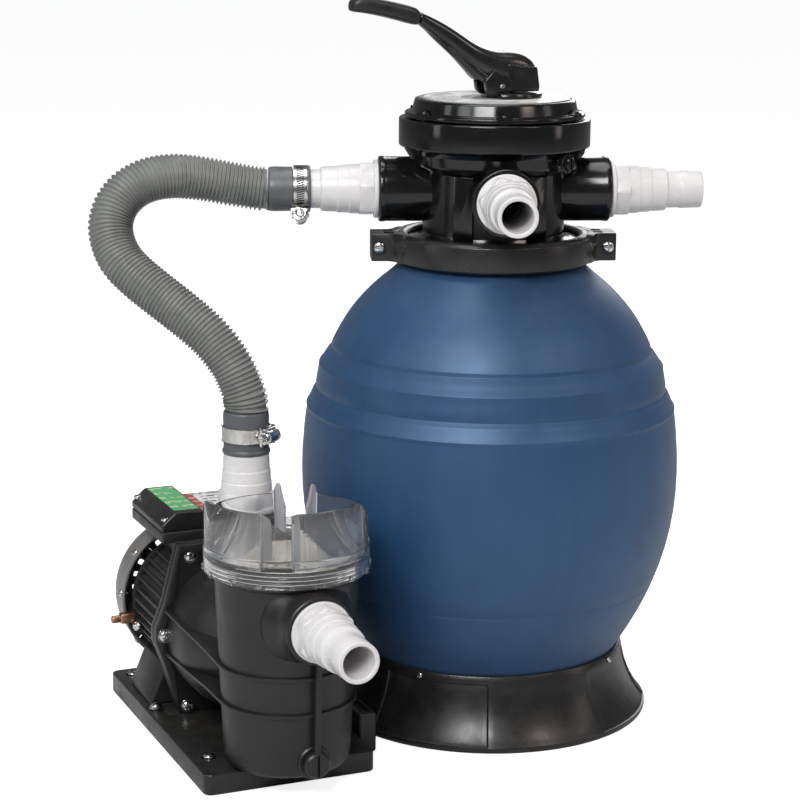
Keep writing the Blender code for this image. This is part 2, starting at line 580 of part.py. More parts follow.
def drain_plug():
    face = POT_FOOT_R + 2.5
    outline = [(0.0, face + 8.0), (9.5, face + 8.0), (11.0, face + 6.5), (11.0, face), (7.4, face),
               (7.4, 44.0), (0.0, 44.0)]
    plug = turned("drain_plug", outline, PUMP_BLACK, PUMP, (DRAIN_X, POT_Y, DRAIN_Z), ALONG_MINUS_Y, 16)
    cut(plug, block("drain_plug_slot", (DRAIN_X - 1.2, POT_Y - face - 20.0, 0.0),
                    (DRAIN_X + 1.2, POT_Y - face - 5.0, 60.0), None, PUMP))


# ---------------------------------------------------------------- strainer basket and lid

def strainer():
    at = (0, POT_Y, 0)
    basket = [(0.0, 69.0), (36.0, 69.0), (43.5, 175.0), (52.5, 175.0), (52.5, 172.0), (46.0, 172.0),
              (38.0, 66.0), (0.0, 66.0)]
    cup = turned("strainer_basket", basket, CREAM, PUMP, at, steps=24)
    for i in range(4):
        cut(cup, cone("basket_window", 9.0, 9.0, 20.0, 60.0, None, PUMP, (0, POT_Y, 110.0),
                      (90.0, 0.0, 45.0 + 90.0 * i), 8))

    ring("lid_seal", 60.5, 56.5, 190.4, 193.4, RUBBER, PUMP, at)

    outline = [(0.0, 197.5), (62.0, 197.5), (63.0, LID_Z1), (LID_R, LID_Z1), (LID_R, LID_Z0),
               (62.6, LID_Z0), (62.6, 194.0), (0.0, 194.0)]
    lid = turned("strainer_lid", outline, CLEAR, PUMP, at)
    for i in range(4):
        join(lid, lid_tab(i))


def lid_tab(i):
    """One of the lid's four hand tabs: a stretch of rim with a leg bent in beside the gap."""
    reach, wall, leg = 66.0, 2.8, 22.0
    start, end = 10.0, 72.0
    outline = arc((0, 0), reach, start, end, 7) + arc((0, 0), reach - wall, end, start + 3.0, 6)
    x, y = outline[-1]
    outline += [(x - leg, y), (x - leg, y - wall)]
    flip = 1 if i % 2 == 0 else -1
    outline = [(x, y * flip) for x, y in outline]
    turn = -90.0 - LID_TURN + (180.0 if i > 1 else 0.0)
    height = TAB_H + 5.0
    at = (0, POT_Y, LID_Z1 - 4.6 + 0.5 * height)
    return slab(f"lid_tab_{i}", outline, height, None, PUMP, at, (0, 0, turn))


# ---------------------------------------------------------------- motor

def motor():
    axis = (0, 0, AXIS_Z)
    bracket = slab("motor_bracket", plate_outline(), PLATE_T, PUMP_BLACK, PUMP,
                   (0, PLATE_Y + GAP + 0.5 * PLATE_T, 0), (90, 0, 0))
    cut(bracket, cone("bracket_eye", 12.0, 12.0, 140.0, 170.0, None, PUMP, axis, ALONG_Y, 16))
    ring("shaft_seal", 11.4, 6.6, 144.0, 151.0, RUBBER, PUMP, axis, ALONG_Y, 16)
    ring("front_bearing", 16.0, 7.0, MOTOR_Y0 + 0.4, MOTOR_Y0 + 9.0, STEEL, PUMP, axis, ALONG_Y, 16)
    ring("rear_bearing", 16.0, 7.0, 238.0, 247.0, STEEL, PUMP, axis, ALONG_Y, 16)
    cone("motor_shaft", 6.0, 6.0, 100.0, 276.0, STEEL, PUMP, axis, ALONG_Y, 12)

    fins = 20
    outline = []
    for i in range(fins):
        middle = 360.0 * i / fins
        for offset, radius in ((-6.5, 56.0), (-2.2, MOTOR_R), (2.2, MOTOR_R), (6.5, 56.0)):
            angle = math.radians(middle + offset)
            outline.append((radius * math.cos(angle), radius * math.sin(angle)))
    length = MOTOR_Y1 - MOTOR_Y0
    case = slab("motor_case", outline, length, SATIN_BLACK, PUMP, (0, MOTOR_Y0 + 0.5 * length, AXIS_Z),
                (90, 0, 0))
    cut(case, cone("case_bore", 52.5, 52.5, 140.0, 236.0, None, PUMP, axis, ALONG_Y))
    cut(case, cone("case_eye", 17.0, 17.0, 230.0, 260.0, None, PUMP, axis, ALONG_Y, 16))
    ring("motor_stator", 51.6, 33.0, 172.0, 232.0, CORE, PUMP, axis, ALONG_Y, 24)
    ring("motor_rotor", 31.8, 6.6, 172.0, 232.0, CORE, PUMP, axis, ALONG_Y, 24)

    impeller = ring("impeller", 48.0, 6.6, 128.0, 132.0, WHITE, PUMP, axis, ALONG_Y, 24)
    join(impeller, ring("impeller_hub", 12.0, 6.6, 106.0, 130.0, None, PUMP, axis, ALONG_Y, 16))
    for i in range(5):
        join(impeller, block("impeller_vane", (9.0, 112.0, -1.5), (46.0, 130.0, 1.5), None, PUMP,
                             at=axis, turn=(0, 72.0 * i, 0)))

    blades = 8
    star = []
    for i in range(blades):
        middle = 360.0 * i / blades
        for offset, radius in ((-14.0, 20.0), (-3.0, 56.0), (3.0, 56.0), (14.0, 20.0)):
            angle = math.radians(middle + offset)
            star.append((radius * math.cos(angle), radius * math.sin(angle)))
    fan = slab("fan", star, 14.0, SATIN_BLACK, PUMP, (0, 268.0, AXIS_Z), (90, 0, 0))
    cut(fan, cone("fan_eye", 6.6, 6.6, 250.0, 290.0, None, PUMP, axis, ALONG_Y, 12))

    cover = [(0.0, COVER_Y1), (57.0, COVER_Y1), (COVER_R - 2.0, COVER_Y1 - 5.0), (COVER_R, MOTOR_Y1 + GAP),
            (COVER_R - 3.0, MOTOR_Y1 + GAP), (COVER_R - 5.0, COVER_Y1 - 7.0), (55.0, COVER_Y1 - 3.0),
            (0.0, COVER_Y1 - 3.0)]
    hood = turned("fan_cover", cover, FAN_GREY, PUMP, axis, ALONG_Y)
    for i in range(8):
        angle = math.radians(45.0 * i + 20.0)
        centre = (35.0 * math.cos(angle), 0.0, AXIS_Z + 35.0 * math.sin(angle))
        cut(hood, cone("vent", 7.3, 7.3, 280.0, 300.0, None, PUMP, centre, ALONG_Y, 9))


def terminal_box():
    floor = AXIS_Z + COVER_R + 0.6
    box = block("terminal_box", (-50.0, BOX_Y0, floor), (50.0, BOX_Y1, 168.0), SATIN_BLACK, PUMP, 2.0, 1)
    join(box, block("terminal_neck", (-34.0, BOX_Y0 + 4.0, AXIS_Z + MOTOR_R + GAP),
                    (34.0, MOTOR_Y1 - 2.0, 162.0), None, PUMP))
    lid = [(-50.0, 168.3), (50.0, 168.3), (50.0, 176.0), (-6.0, 176.0), (-12.0, 185.0), (-38.0, 185.0),
           (-50.0, 174.0)]
    slab("terminal_lid", lid, BOX_Y1 - BOX_Y0, SATIN_BLACK, PUMP, (0, 0.5 * (BOX_Y0 + BOX_Y1), 0),
         (90, 0, 0), 1.5)
    gland = [(0.0, 66.0), (6.0, 66.0), (9.0, 63.0), (9.0, 56.0), (11.0, 56.0), (11.0, 50.4), (0.0, 50.4)]
    turned("cable_gland", gland, SATIN_BLACK, PUMP, (0, 230.0, 162.6), ALONG_X, 12)
    lug = block("bonding_lug", (-82.0, 232.0, 72.0), (-MOTOR_R - 0.6, 244.0, 84.0), BRASS, PUMP, 1.5, 1)
    cut(lug, cone("bonding_hole", 2.6, 2.6, 60.0, 100.0, None, PUMP, (-73.0, 238.0, 0), steps=12))


tank()
underdrain()
neck_clamp()
valve_body()
valve_cover()
valve_inside()
gauge_plug()
handle()
adaptors()
hose()
pump_base()
pump_housing()
drain_plug()
strainer()
motor()
terminal_box()
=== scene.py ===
import math

import bmesh
import bpy
from mathutils import Euler, Matrix, Vector


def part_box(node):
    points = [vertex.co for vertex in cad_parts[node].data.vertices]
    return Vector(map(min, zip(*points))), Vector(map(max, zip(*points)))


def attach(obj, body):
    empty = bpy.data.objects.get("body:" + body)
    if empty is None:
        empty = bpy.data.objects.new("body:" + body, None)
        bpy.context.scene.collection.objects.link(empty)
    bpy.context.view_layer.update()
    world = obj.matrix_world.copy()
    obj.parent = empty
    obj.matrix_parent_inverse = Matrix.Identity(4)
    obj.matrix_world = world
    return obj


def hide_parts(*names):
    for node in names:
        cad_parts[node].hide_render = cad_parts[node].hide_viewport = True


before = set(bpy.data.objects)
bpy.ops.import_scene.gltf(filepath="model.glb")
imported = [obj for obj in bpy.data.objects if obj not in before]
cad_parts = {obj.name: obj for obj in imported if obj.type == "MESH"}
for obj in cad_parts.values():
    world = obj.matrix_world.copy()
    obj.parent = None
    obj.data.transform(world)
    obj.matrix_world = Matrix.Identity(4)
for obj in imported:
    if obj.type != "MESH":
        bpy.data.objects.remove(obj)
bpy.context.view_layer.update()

# ------------------------------------------------------------------ where the set stands
# The set is a filter tank with its valve, and a pump on its own base at the tank's left.
# Each half is modelled in millimetres in a frame of its own: the tank's stands on the
# tank's axis, the pump's on the strainer pot's axis with +Y running back along the motor.

MM = 0.001


def middle(node):
    """The middle of a node's box, in millimetres."""
    low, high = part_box(node)
    return (low + high) / (2.0 * MM)


tank_middle = middle("neck_seal")
pot_middle = middle("lid_seal")
motor_way = middle("rear_bearing") - pot_middle
grip_way = middle("lever_grip") - tank_middle
pump_yaw = math.atan2(-motor_way.x, motor_way.y)
handle_yaw = math.atan2(-grip_way.y, -grip_way.x)

to_metres = Matrix.Scale(MM, 4)
TANK = to_metres @ Matrix.Translation((tank_middle.x, tank_middle.y, 0.0))
PUMP = to_metres @ Matrix.Translation((pot_middle.x, pot_middle.y, 0.0)) @ Matrix.Rotation(pump_yaw, 4, "Z")
HANDLE = TANK @ Matrix.Rotation(handle_yaw, 4, "Z")

# ------------------------------------------------------------------ camera, floor and lights
# A long lens from a little above the valve, slightly left of the tank, over a pale floor
# with soft lamps at both sides, in front and overhead.

camera_data = bpy.data.cameras.new("camera")
camera_data.lens = 102.06
camera_data.sensor_width = 36.0
camera = bpy.data.objects.new("camera", camera_data)
bpy.context.collection.objects.link(camera)
heading, looking_down, lean = math.radians(-4.0), math.radians(12.65), math.radians(0.45)
camera.matrix_world = (Matrix.Translation(TANK @ Vector((-215.1, -1939.7, 712.0)))
                       @ Matrix.Rotation(heading, 4, "Z")
                       @ Matrix.Rotation(math.pi / 2 - looking_down, 4, "X")
                       @ Matrix.Rotation(lean, 4, "Z"))
bpy.context.scene.camera = camera

bpy.ops.object.select_all(action="DESELECT")
bpy.ops.mesh.primitive_plane_add(size=1.0, location=(0.0, 0.0, -0.0006))
floor = bpy.context.object
floor.name = "studio_floor"
floor.scale = (60.0, 60.0, 1.0)
floor_paint = bpy.data.materials.new("studio_floor")
floor_paint.use_nodes = True
floor_shader = floor_paint.node_tree.nodes["Principled BSDF"]
floor_shader.inputs["Base Color"].default_value = (0.66, 0.66, 0.66, 1.0)
floor_shader.inputs["Roughness"].default_value = 0.75
seen = floor_paint.node_tree.nodes.new("ShaderNodeLightPath")
glow = floor_paint.node_tree.nodes.new("ShaderNodeMath")
glow.operation = "MULTIPLY"
glow.inputs[1].default_value = 0.80
floor_paint.node_tree.links.new(seen.outputs["Is Camera Ray"], glow.inputs[0])
floor_paint.node_tree.links.new(glow.outputs["Value"], floor_shader.inputs["Emission Strength"])
floor_shader.inputs["Emission Color"].default_value = (1.0, 1.0, 1.0, 1.0)
floor.data.materials.append(floor_paint)
bpy.context.scene.view_settings.view_transform = "Standard"


def lamp(name, place, aim, size, watts, colour=(1.0, 1.0, 1.0)):
    """A soft box of this size in metres, aimed at a point."""
    data = bpy.data.lights.new(name, "AREA")
    data.shape = "RECTANGLE"
    data.size, data.size_y = size
    data.energy = watts
    data.color = colour
    light = bpy.data.objects.new(name, data)
    light.location = place
    light.rotation_euler = (Vector(aim) - Vector(place)).to_track_quat("-Z", "Y").to_euler()
    bpy.context.collection.objects.link(light)


lamp("key_box", (-0.75, -2.05, 2.0), (0.0, 0.0, 0.32), (1.2, 0.9), 56.0)
lamp("cool_box", (-1.7, -1.35, 1.9), (0.0, 0.0, 0.34), (0.8, 0.8), 8.0, (0.90, 0.96, 1.0))
lamp("warm_box", (1.55, -1.45, 1.9), (0.0, 0.0, 0.34), (0.7, 0.7), 9.0, (1.0, 0.86, 0.80))
lamp("left_box", (-2.1, -0.4, 1.0), (0.0, 0.0, 0.3), (0.35, 1.5), 3.8)
lamp("right_box", (2.2, -0.5, 1.0), (0.0, 0.0, 0.3), (0.35, 1.5), 3.2, (1.0, 0.88, 0.82))
lamp("top_box", (-0.1, 0.1, 2.3), (0.0, 0.0, 0.2), (1.3, 1.0), 15.0)
lamp("back_box", (0.9, 2.2, 1.3), (0.0, 0.0, 0.4), (1.2, 1.2), 16.0)

# the room lights matt surfaces more than it shows in glossy ones, as dark cards would do
world = bpy.data.worlds.new("studio")
world.use_nodes = True
sky = world.node_tree.nodes["Background"]
sky.inputs["Color"].default_value = (0.95, 0.97, 1.0, 1.0)
ray = world.node_tree.nodes.new("ShaderNodeLightPath")
level = world.node_tree.nodes.new("ShaderNodeMapRange")
level.inputs["To Min"].default_value = 0.27
level.inputs["To Max"].default_value = 0.17
world.node_tree.links.new(ray.outputs["Is Glossy Ray"], level.inputs["Value"])
world.node_tree.links.new(level.outputs["Result"], sky.inputs["Strength"])
bpy.context.scene.world = world

# ------------------------------------------------------------------ corrugated hose
# A grey PVC pool hose, 38 mm over its ridges, from the valve's left port down to the pump's
# outlet. It is moulded with a ridge every 3.5 mm and ends in plain soft cuffs.

HOSE_R = 19.0
GROOVE_R = 16.7
RIDGE_PITCH = 3.55
CUFF_R = 19.0
CUFF_LENGTH = 36.0
CUFF_X = -158.0                          # the upper cuff's outer end
CUFF_Z = 254.3                           # the lower cuff's outer end
HOSE_ROUTE = [                           # from the tank's axis, upper end to lower end
    (-200.3, 0.0, 462.0), (-222.0, -1.4, 465.8), (-252.3, -5.5, 471.8), (-276.0, -11.5, 474.3),
    (-296.9, -18.5, 471.5), (-313.0, -25.0, 463.0), (-323.0, -31.5, 450.5), (-326.8, -38.0, 436.5),
    (-324.6, -45.0, 422.5), (-317.5, -53.0, 409.0), (-305.5, -60.5, 397.3), (-287.5, -69.5, 383.8),
    (-261.5, -81.0, 365.0), (-241.5, -89.0, 347.5), (-226.0, -95.5, 327.0), (-217.0, -98.4, 307.0)]


def smooth_route(points, per_span):
    """A Catmull-Rom curve through the route's points."""
    points = [Vector(point) for point in points]
    points = [2 * points[0] - points[1], *points, 2 * points[-1] - points[-2]]
    route = []
    for before, start, end, after in zip(points, points[1:], points[2:], points[3:]):
        for i in range(per_span):
            t = i / per_span
            route.append(0.5 * (2 * start + (end - before) * t
                                + (2 * before - 5 * start + 4 * end - after) * t * t
                                + (3 * start - before - 3 * end + after) * t ** 3))
    return [*route, points[-2]]


def even_steps(route, step):
    """The same route with a point every step, and each point's distance along it."""
    points, travelled, due = [(route[0], 0.0)], 0.0, step
    for start, end in zip(route, route[1:]):
        span = (end - start).length
        while due <= travelled + span:
            points.append((start.lerp(end, (due - travelled) / span), due))
            due += step
        travelled += span
    return points


outlet = middle("adaptor_discharge") - tank_middle
upper_end = Vector((CUFF_X - CUFF_LENGTH - 0.3, 0.0, 462.0))
lower_end = Vector((outlet.x, outlet.y, CUFF_Z + CUFF_LENGTH + 0.3))
hose_way = smooth_route([upper_end, *HOSE_ROUTE, lower_end + Vector((0.0, 0.0, 6.0)), lower_end], 12)
hose_points = even_steps(hose_way, RIDGE_PITCH / 8.0)

hose_line = bpy.data.curves.new("hose_tube", "CURVE")
hose_line.dimensions = "3D"
hose_line.bevel_depth = HOSE_R * MM
hose_line.bevel_resolution = 12
hose_line.use_fill_caps = True
hose_spline = hose_line.splines.new("POLY")
hose_spline.points.add(len(hose_points) - 1)
for point, (place, travelled) in zip(hose_spline.points, hose_points):
    phase = (travelled / RIDGE_PITCH) % 1.0 - 0.5
    ridge = math.exp(-(phase / 0.19) ** 2)
    point.co = (*(TANK @ place), 1.0)
    point.radius = (GROOVE_R + (HOSE_R - GROOVE_R) * ridge) / HOSE_R
hose_tube = bpy.data.objects.new("hose_tube", hose_line)
bpy.context.collection.objects.link(hose_tube)


def effect(name, inputs, outputs):
    """A new node group with these sockets, and its first and last nodes."""
    tree = bpy.data.node_groups.new(name, "ShaderNodeTree")
    for socket, kind, value in inputs:
        made = tree.interface.new_socket(socket, in_out="INPUT", socket_type=kind)
        made.default_value = value
    for socket, kind in outputs:
        tree.interface.new_socket(socket, in_out="OUTPUT", socket_type=kind)
    return tree, tree.nodes.new("NodeGroupInput"), tree.nodes.new("NodeGroupOutput")


def noise(tree, vector, scale, detail=3.0, roughness=0.55):
    """A noise texture on this vector; scale is a number or a socket. Gives its value."""
    node = tree.nodes.new("ShaderNodeTexNoise")
    node.inputs["Detail"].default_value = detail
    node.inputs["Roughness"].default_value = roughness
    tree.links.new(vector, node.inputs["Vector"])
    if isinstance(scale, float):
        node.inputs["Scale"].default_value = scale
    else:
        tree.links.new(scale, node.inputs["Scale"])
    return node.outputs[0]


def spread(tree, value, low, high, to_low=0.0, to_high=1.0):
    """Maps a value's stretch from low to high onto another stretch, clamped."""
    node = tree.nodes.new("ShaderNodeMapRange")
    node.clamp = True
    tree.links.new(value, node.inputs["Value"])
    for socket, number in zip(("From Min", "From Max", "To Min", "To Max"), (low, high, to_low, to_high)):
        if isinstance(number, float):
            node.inputs[socket].default_value = number
        else:
            tree.links.new(number, node.inputs[socket])
    return node.outputs[0]


def arithmetic(tree, operation, first, second):
    node = tree.nodes.new("ShaderNodeMath")
    node.operation = operation
    for socket, value in zip(node.inputs, (first, second)):
        if isinstance(value, float):
            socket.default_value = value
        else:
            tree.links.new(value, socket)
    return node.outputs[0]


def blended(tree, mask, first, second):
    """One colour over another where the mask is 1; each is a colour or a socket."""
    node = tree.nodes.new("ShaderNodeMix")
    node.data_type = "RGBA"
    tree.links.new(mask, node.inputs[0])
    for socket, colour in ((node.inputs[6], first), (node.inputs[7], second)):
        if isinstance(colour, tuple):
            socket.default_value = (*colour, 1.0)
        else:
            tree.links.new(colour, socket)
    return node.outputs[2]


# Cloudy tone: colour that drifts between two shades, as moulded plastic does
cloudy_tone, inside, out = effect(
    "cloudy_tone", [("Vector", "NodeSocketVector", (0, 0, 0)), ("Scale", "NodeSocketFloat", 20.0),
                    ("Colour", "NodeSocketColor", (0, 0, 0, 1)), ("Shade", "NodeSocketColor", (0, 0, 0, 1))],
    [("Colour", "NodeSocketColor")])
cloud = noise(cloudy_tone, inside.outputs["Vector"], inside.outputs["Scale"], 4.0, 0.6)
cloudy_tone.links.new(blended(cloudy_tone, spread(cloudy_tone, cloud, 0.38, 0.66),
                              inside.outputs["Colour"], inside.outputs["Shade"]), out.inputs["Colour"])

# Skin: the fine grain of a mould's surface as a height, with a slow waviness below it
mould_skin, inside, out = effect(
    "mould_skin", [("Vector", "NodeSocketVector", (0, 0, 0)), ("Grain", "NodeSocketFloat", 1200.0),
                   ("Waves", "NodeSocketFloat", 30.0), ("Wave share", "NodeSocketFloat", 0.5)],
    [("Height", "NodeSocketFloat")])
fine = noise(mould_skin, inside.outputs["Vector"], inside.outputs["Grain"], 2.0)
slow = noise(mould_skin, inside.outputs["Vector"], inside.outputs["Waves"], 1.0)
mould_skin.links.new(arithmetic(mould_skin, "ADD", fine, arithmetic(mould_skin, "MULTIPLY", slow,
                                                                     inside.outputs["Wave share"])),
                     out.inputs["Height"])

# Handling: smears and hairline scratches that change the gloss
handling, inside, out = effect(
    "handling", [("Vector", "NodeSocketVector", (0, 0, 0)), ("Smear scale", "NodeSocketFloat", 40.0),
                 ("Clean", "NodeSocketFloat", 0.3), ("Worn", "NodeSocketFloat", 0.5)],
    [("Roughness", "NodeSocketFloat"), ("Scratch", "NodeSocketFloat")])
smear = noise(handling, inside.outputs["Vector"], inside.outputs["Smear scale"], 5.0, 0.65)
stretched = handling.nodes.new("ShaderNodeMapping")
stretched.inputs["Rotation"].default_value = (0.5, 0.3, 0.9)
stretched.inputs["Scale"].default_value = (1.0, 14.0, 14.0)
handling.links.new(inside.outputs["Vector"], stretched.inputs["Vector"])
hairs = noise(handling, stretched.outputs["Vector"], 60.0, 2.0, 0.5)
scratch = spread(handling, hairs, 0.70, 0.76)
worn = arithmetic(handling, "MAXIMUM", spread(handling, smear, 0.40, 0.72), scratch)
roughness = spread(handling, worn, 0.0, 1.0, inside.outputs["Clean"], inside.outputs["Worn"])
handling.links.new(roughness, out.inputs["Roughness"])
handling.links.new(scratch, out.inputs["Scratch"])

# Dust: a pale film that gathers on what faces up
dust_film, inside, out = effect(
    "dust_film", [("Vector", "NodeSocketVector", (0, 0, 0)), ("Colour", "NodeSocketColor", (0, 0, 0, 1)),
                  ("Dust", "NodeSocketColor", (0.4, 0.38, 0.35, 1)), ("Amount", "NodeSocketFloat", 0.15)],
    [("Colour", "NodeSocketColor")])
facing = dust_film.nodes.new("ShaderNodeNewGeometry")
split = dust_film.nodes.new("ShaderNodeSeparateXYZ")
dust_film.links.new(facing.outputs["Normal"], split.inputs[0])
lying = spread(dust_film, split.outputs["Z"], 0.3, 1.0)
patches = spread(dust_film, noise(dust_film, inside.outputs["Vector"], 55.0, 6.0, 0.7), 0.35, 0.75)
film = arithmetic(dust_film, "MULTIPLY", arithmetic(dust_film, "MULTIPLY", lying, patches),
                  inside.outputs["Amount"])
dust_film.links.new(blended(dust_film, film, inside.outputs["Colour"], inside.outputs["Dust"]),
                    out.inputs["Colour"])


def blank(name):
    """An empty material: its tree, its shader and its object coordinates."""
    material = bpy.data.materials.new(name)
    material.use_nodes = True
    tree = material.node_tree
    coordinates = tree.nodes.new("ShaderNodeTexCoord").outputs["Object"]
    return material, tree, tree.nodes["Principled BSDF"], coordinates


def placed(tree, group, vector, **values):
    """Places an effect in a material with its own values; spaces in names are underscores."""
    node = tree.nodes.new("ShaderNodeGroup")
    node.node_tree = group
    tree.links.new(vector, node.inputs["Vector"])
    for name, value in values.items():
        socket = node.inputs[name.replace("_", " ")]
        if isinstance(value, bpy.types.NodeSocket):
            tree.links.new(value, socket)
        else:
            socket.default_value = (*value, 1.0) if isinstance(value, tuple) else value
    return node


def moulded(name, colour, shade, gloss=(0.3, 0.45), tone=25.0, grain=1400.0, depth=0.00003, waves=28.0,
            wave_share=0.6, dust=0.12, coat=0.0):
    """Injection-moulded plastic: its two shades, its gloss, and its skin's grain and depth."""
    material, tree, shader, vector = blank(name)
    tint = placed(tree, cloudy_tone, vector, Scale=tone, Colour=colour, Shade=shade).outputs["Colour"]
    tint = placed(tree, dust_film, vector, Colour=tint, Amount=dust).outputs["Colour"]
    tree.links.new(tint, shader.inputs["Base Color"])
    touched = placed(tree, handling, vector, Clean=gloss[0], Worn=gloss[1])
    tree.links.new(touched.outputs["Roughness"], shader.inputs["Roughness"])
    skin = placed(tree, mould_skin, vector, Grain=grain, Waves=waves, Wave_share=wave_share)
    bump = tree.nodes.new("ShaderNodeBump")
    bump.inputs["Distance"].default_value = depth
    bump.inputs["Strength"].default_value = 1.0
    tree.links.new(skin.outputs["Height"], bump.inputs["Height"])
    tree.links.new(bump.outputs["Normal"], shader.inputs["Normal"])
    shader.inputs["Coat Weight"].default_value = coat
    shader.inputs["Coat Roughness"].default_value = 0.08
    return material


hose_grey = moulded("hose_grey", (0.190, 0.196, 0.186), (0.150, 0.157, 0.150), gloss=(0.36, 0.5), tone=60.0,
                    grain=2500.0, depth=0.00002, dust=0.25)
cuff_grey = moulded("cuff_grey", (0.090, 0.094, 0.102), (0.075, 0.079, 0.088), gloss=(0.36, 0.48), tone=60.0,
                    grain=2500.0, depth=0.00002, dust=0.2)
hose_line.materials.append(hose_grey)


def deselect():
    if bpy.context.mode != "OBJECT":
        bpy.ops.object.mode_set(mode="OBJECT")
    bpy.ops.object.select_all(action="DESELECT")


def kept(name):
    """Names the piece that an operator has just made, and puts its place into its mesh."""
    piece = bpy.context.object
    piece.name = piece.data.name = name
    bpy.ops.object.transform_apply(location=True, rotation=True, scale=True)
    return piece


def round_bar(name, radius, low, high, sides=64, at=(0, 0, 0), turn=(0, 0, 0), top_radius=None):
    """A bar or cone from low to high on its own axis."""
    deselect()
    turn = Euler([math.radians(angle) for angle in turn])
    centre = Vector(at) + turn.to_matrix() @ Vector((0.0, 0.0, 0.5 * (low + high)))
    bpy.ops.mesh.primitive_cone_add(vertices=sides, radius1=radius, depth=high - low, location=centre,
                                    radius2=radius if top_radius is None else top_radius, rotation=turn)
    return kept(name)


def block(name, low, high, turn=(0, 0, 0), at=(0, 0, 0)):
    """A box between two corners, then turned about its frame's origin and moved."""
    deselect()
    size = Vector(high) - Vector(low)
    bpy.ops.mesh.primitive_cube_add(size=1.0, location=0.5 * (Vector(high) + Vector(low)), scale=size)
    piece = kept(name)
    return moved(piece, at, turn)


def moved(piece, at=(0, 0, 0), turn=(0, 0, 0)):
    piece.location = at
    piece.rotation_euler = [math.radians(angle) for angle in turn]
    bpy.ops.object.select_all(action="DESELECT")
    piece.select_set(True)
    bpy.context.view_layer.objects.active = piece
    bpy.ops.object.transform_apply(location=True, rotation=True, scale=True)
    return piece


def drawn(name, points):
    """Draws a line through the points, by extruding a single vertex, and stays in edit mode."""
    deselect()
    bpy.ops.mesh.primitive_plane_add(size=1.0, location=(0, 0, 0))
    piece = kept(name)
    bpy.ops.object.mode_set(mode="EDIT")
    bpy.ops.mesh.select_all(action="SELECT")
    bpy.ops.mesh.merge(type="CENTER")
    points = [Vector(point) for point in points]
    bpy.ops.transform.translate(value=points[0])
    for start, end in zip(points, points[1:]):
        bpy.ops.mesh.extrude_region_move(TRANSFORM_OT_translate={"value": end - start})
    bpy.ops.mesh.select_all(action="SELECT")
    return piece


def turned(name, outline, sides=96, at=(0, 0, 0), turn=(0, 0, 0)):
    """Spins an outline of (radius, height) points round. It closes on itself unless it
    starts and ends on the axis."""
    points = [(radius, 0.0, height) for radius, height in outline]
    if outline[0][0] > 0.0:
        points.append(points[0])
    piece = drawn(name, points)
    bpy.ops.mesh.spin(steps=sides, angle=math.tau, center=(0, 0, 0), axis=(0, 0, 1))
    bpy.ops.mesh.select_all(action="SELECT")
    bpy.ops.mesh.remove_doubles(threshold=0.001)
    bpy.ops.mesh.normals_make_consistent(inside=False)
    bpy.ops.object.mode_set(mode="OBJECT")
    return moved(piece, at, turn)


def plate(name, outline, low, high, at=(0, 0, 0), turn=(0, 0, 0)):
    """Fills a flat outline and extrudes it from low to high."""
    piece = drawn(name, [(x, y, low) for x, y in outline])
    bpy.ops.mesh.edge_face_add()
    bpy.ops.mesh.extrude_region_move(TRANSFORM_OT_translate={"value": (0.0, 0.0, high - low)})
    bpy.ops.mesh.select_all(action="SELECT")
    bpy.ops.mesh.normals_make_consistent(inside=False)
    bpy.ops.object.mode_set(mode="OBJECT")
    return moved(piece, at, turn)


def applied(piece, kind, **settings):
    """Adds a modifier and applies it."""
    change = piece.modifiers.new(kind.lower(), kind)
    for key, value in settings.items():
        setattr(change, key, value)
    bpy.context.view_layer.objects.active = piece
    bpy.ops.object.modifier_apply(modifier=change.name)
    return piece


def softened(piece, width, segments=2, angle=35.0):
    """Rounds every edge sharper than angle."""
    return applied(piece, "BEVEL", width=width, segments=segments, limit_method="ANGLE",
                   angle_limit=math.radians(angle), use_clamp_overlap=True)


def cut(piece, *tools, operation="DIFFERENCE"):
    for tool in tools:
        applied(piece, "BOOLEAN", operation=operation, object=tool, solver="EXACT")
        bpy.data.objects.remove(tool, do_unlink=True)
    return piece


def united(piece, *others):
    return cut(piece, *others, operation="UNION")


def gathered(piece, *others):
    """Joins separate shapes into one object."""
    deselect()
    for other in (piece, *others):
        other.select_set(True)
    bpy.context.view_layer.objects.active = piece
    bpy.ops.object.join()
    return piece


def copied(piece, name, matrix):
    """A copy with its own mesh, carried by a matrix."""
    twin = bpy.data.objects.new(name, piece.data.copy())
    bpy.context.collection.objects.link(twin)
    twin.data.transform(matrix)
    return twin


def fitted(piece, frame_of, material, body, slot, *nodes, smooth=32.0):
    """Puts a finished piece in the set: its place, its shading, its finish and the body that it rides on, and
    hides the CAD nodes that it stands for."""
    piece.data.transform(frame_of)
    piece.data.materials.clear()
    piece.data.materials.append(material)
    bpy.ops.object.select_all(action="DESELECT")
    piece.select_set(True)
    bpy.context.view_layer.objects.active = piece
    bpy.ops.object.shade_smooth_by_angle(angle=math.radians(smooth))
    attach(piece, body)
    if nodes:
        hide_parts(*nodes)
    return piece


def arc(centre, radius, start, end, count):
    """Points on a circle, from angle start to angle end in degrees."""
    angles = [math.radians(start + (end - start) * i / (count - 1)) for i in range(count)]
    return [(centre[0] + radius * math.cos(a), centre[1] + radius * math.sin(a)) for a in angles]


ALONG_X = (0, 90, 0)
ALONG_MINUS_X = (0, -90, 0)
ALONG_Y = (-90, 0, 0)
ALONG_MINUS_Y = (90, 0, 0)

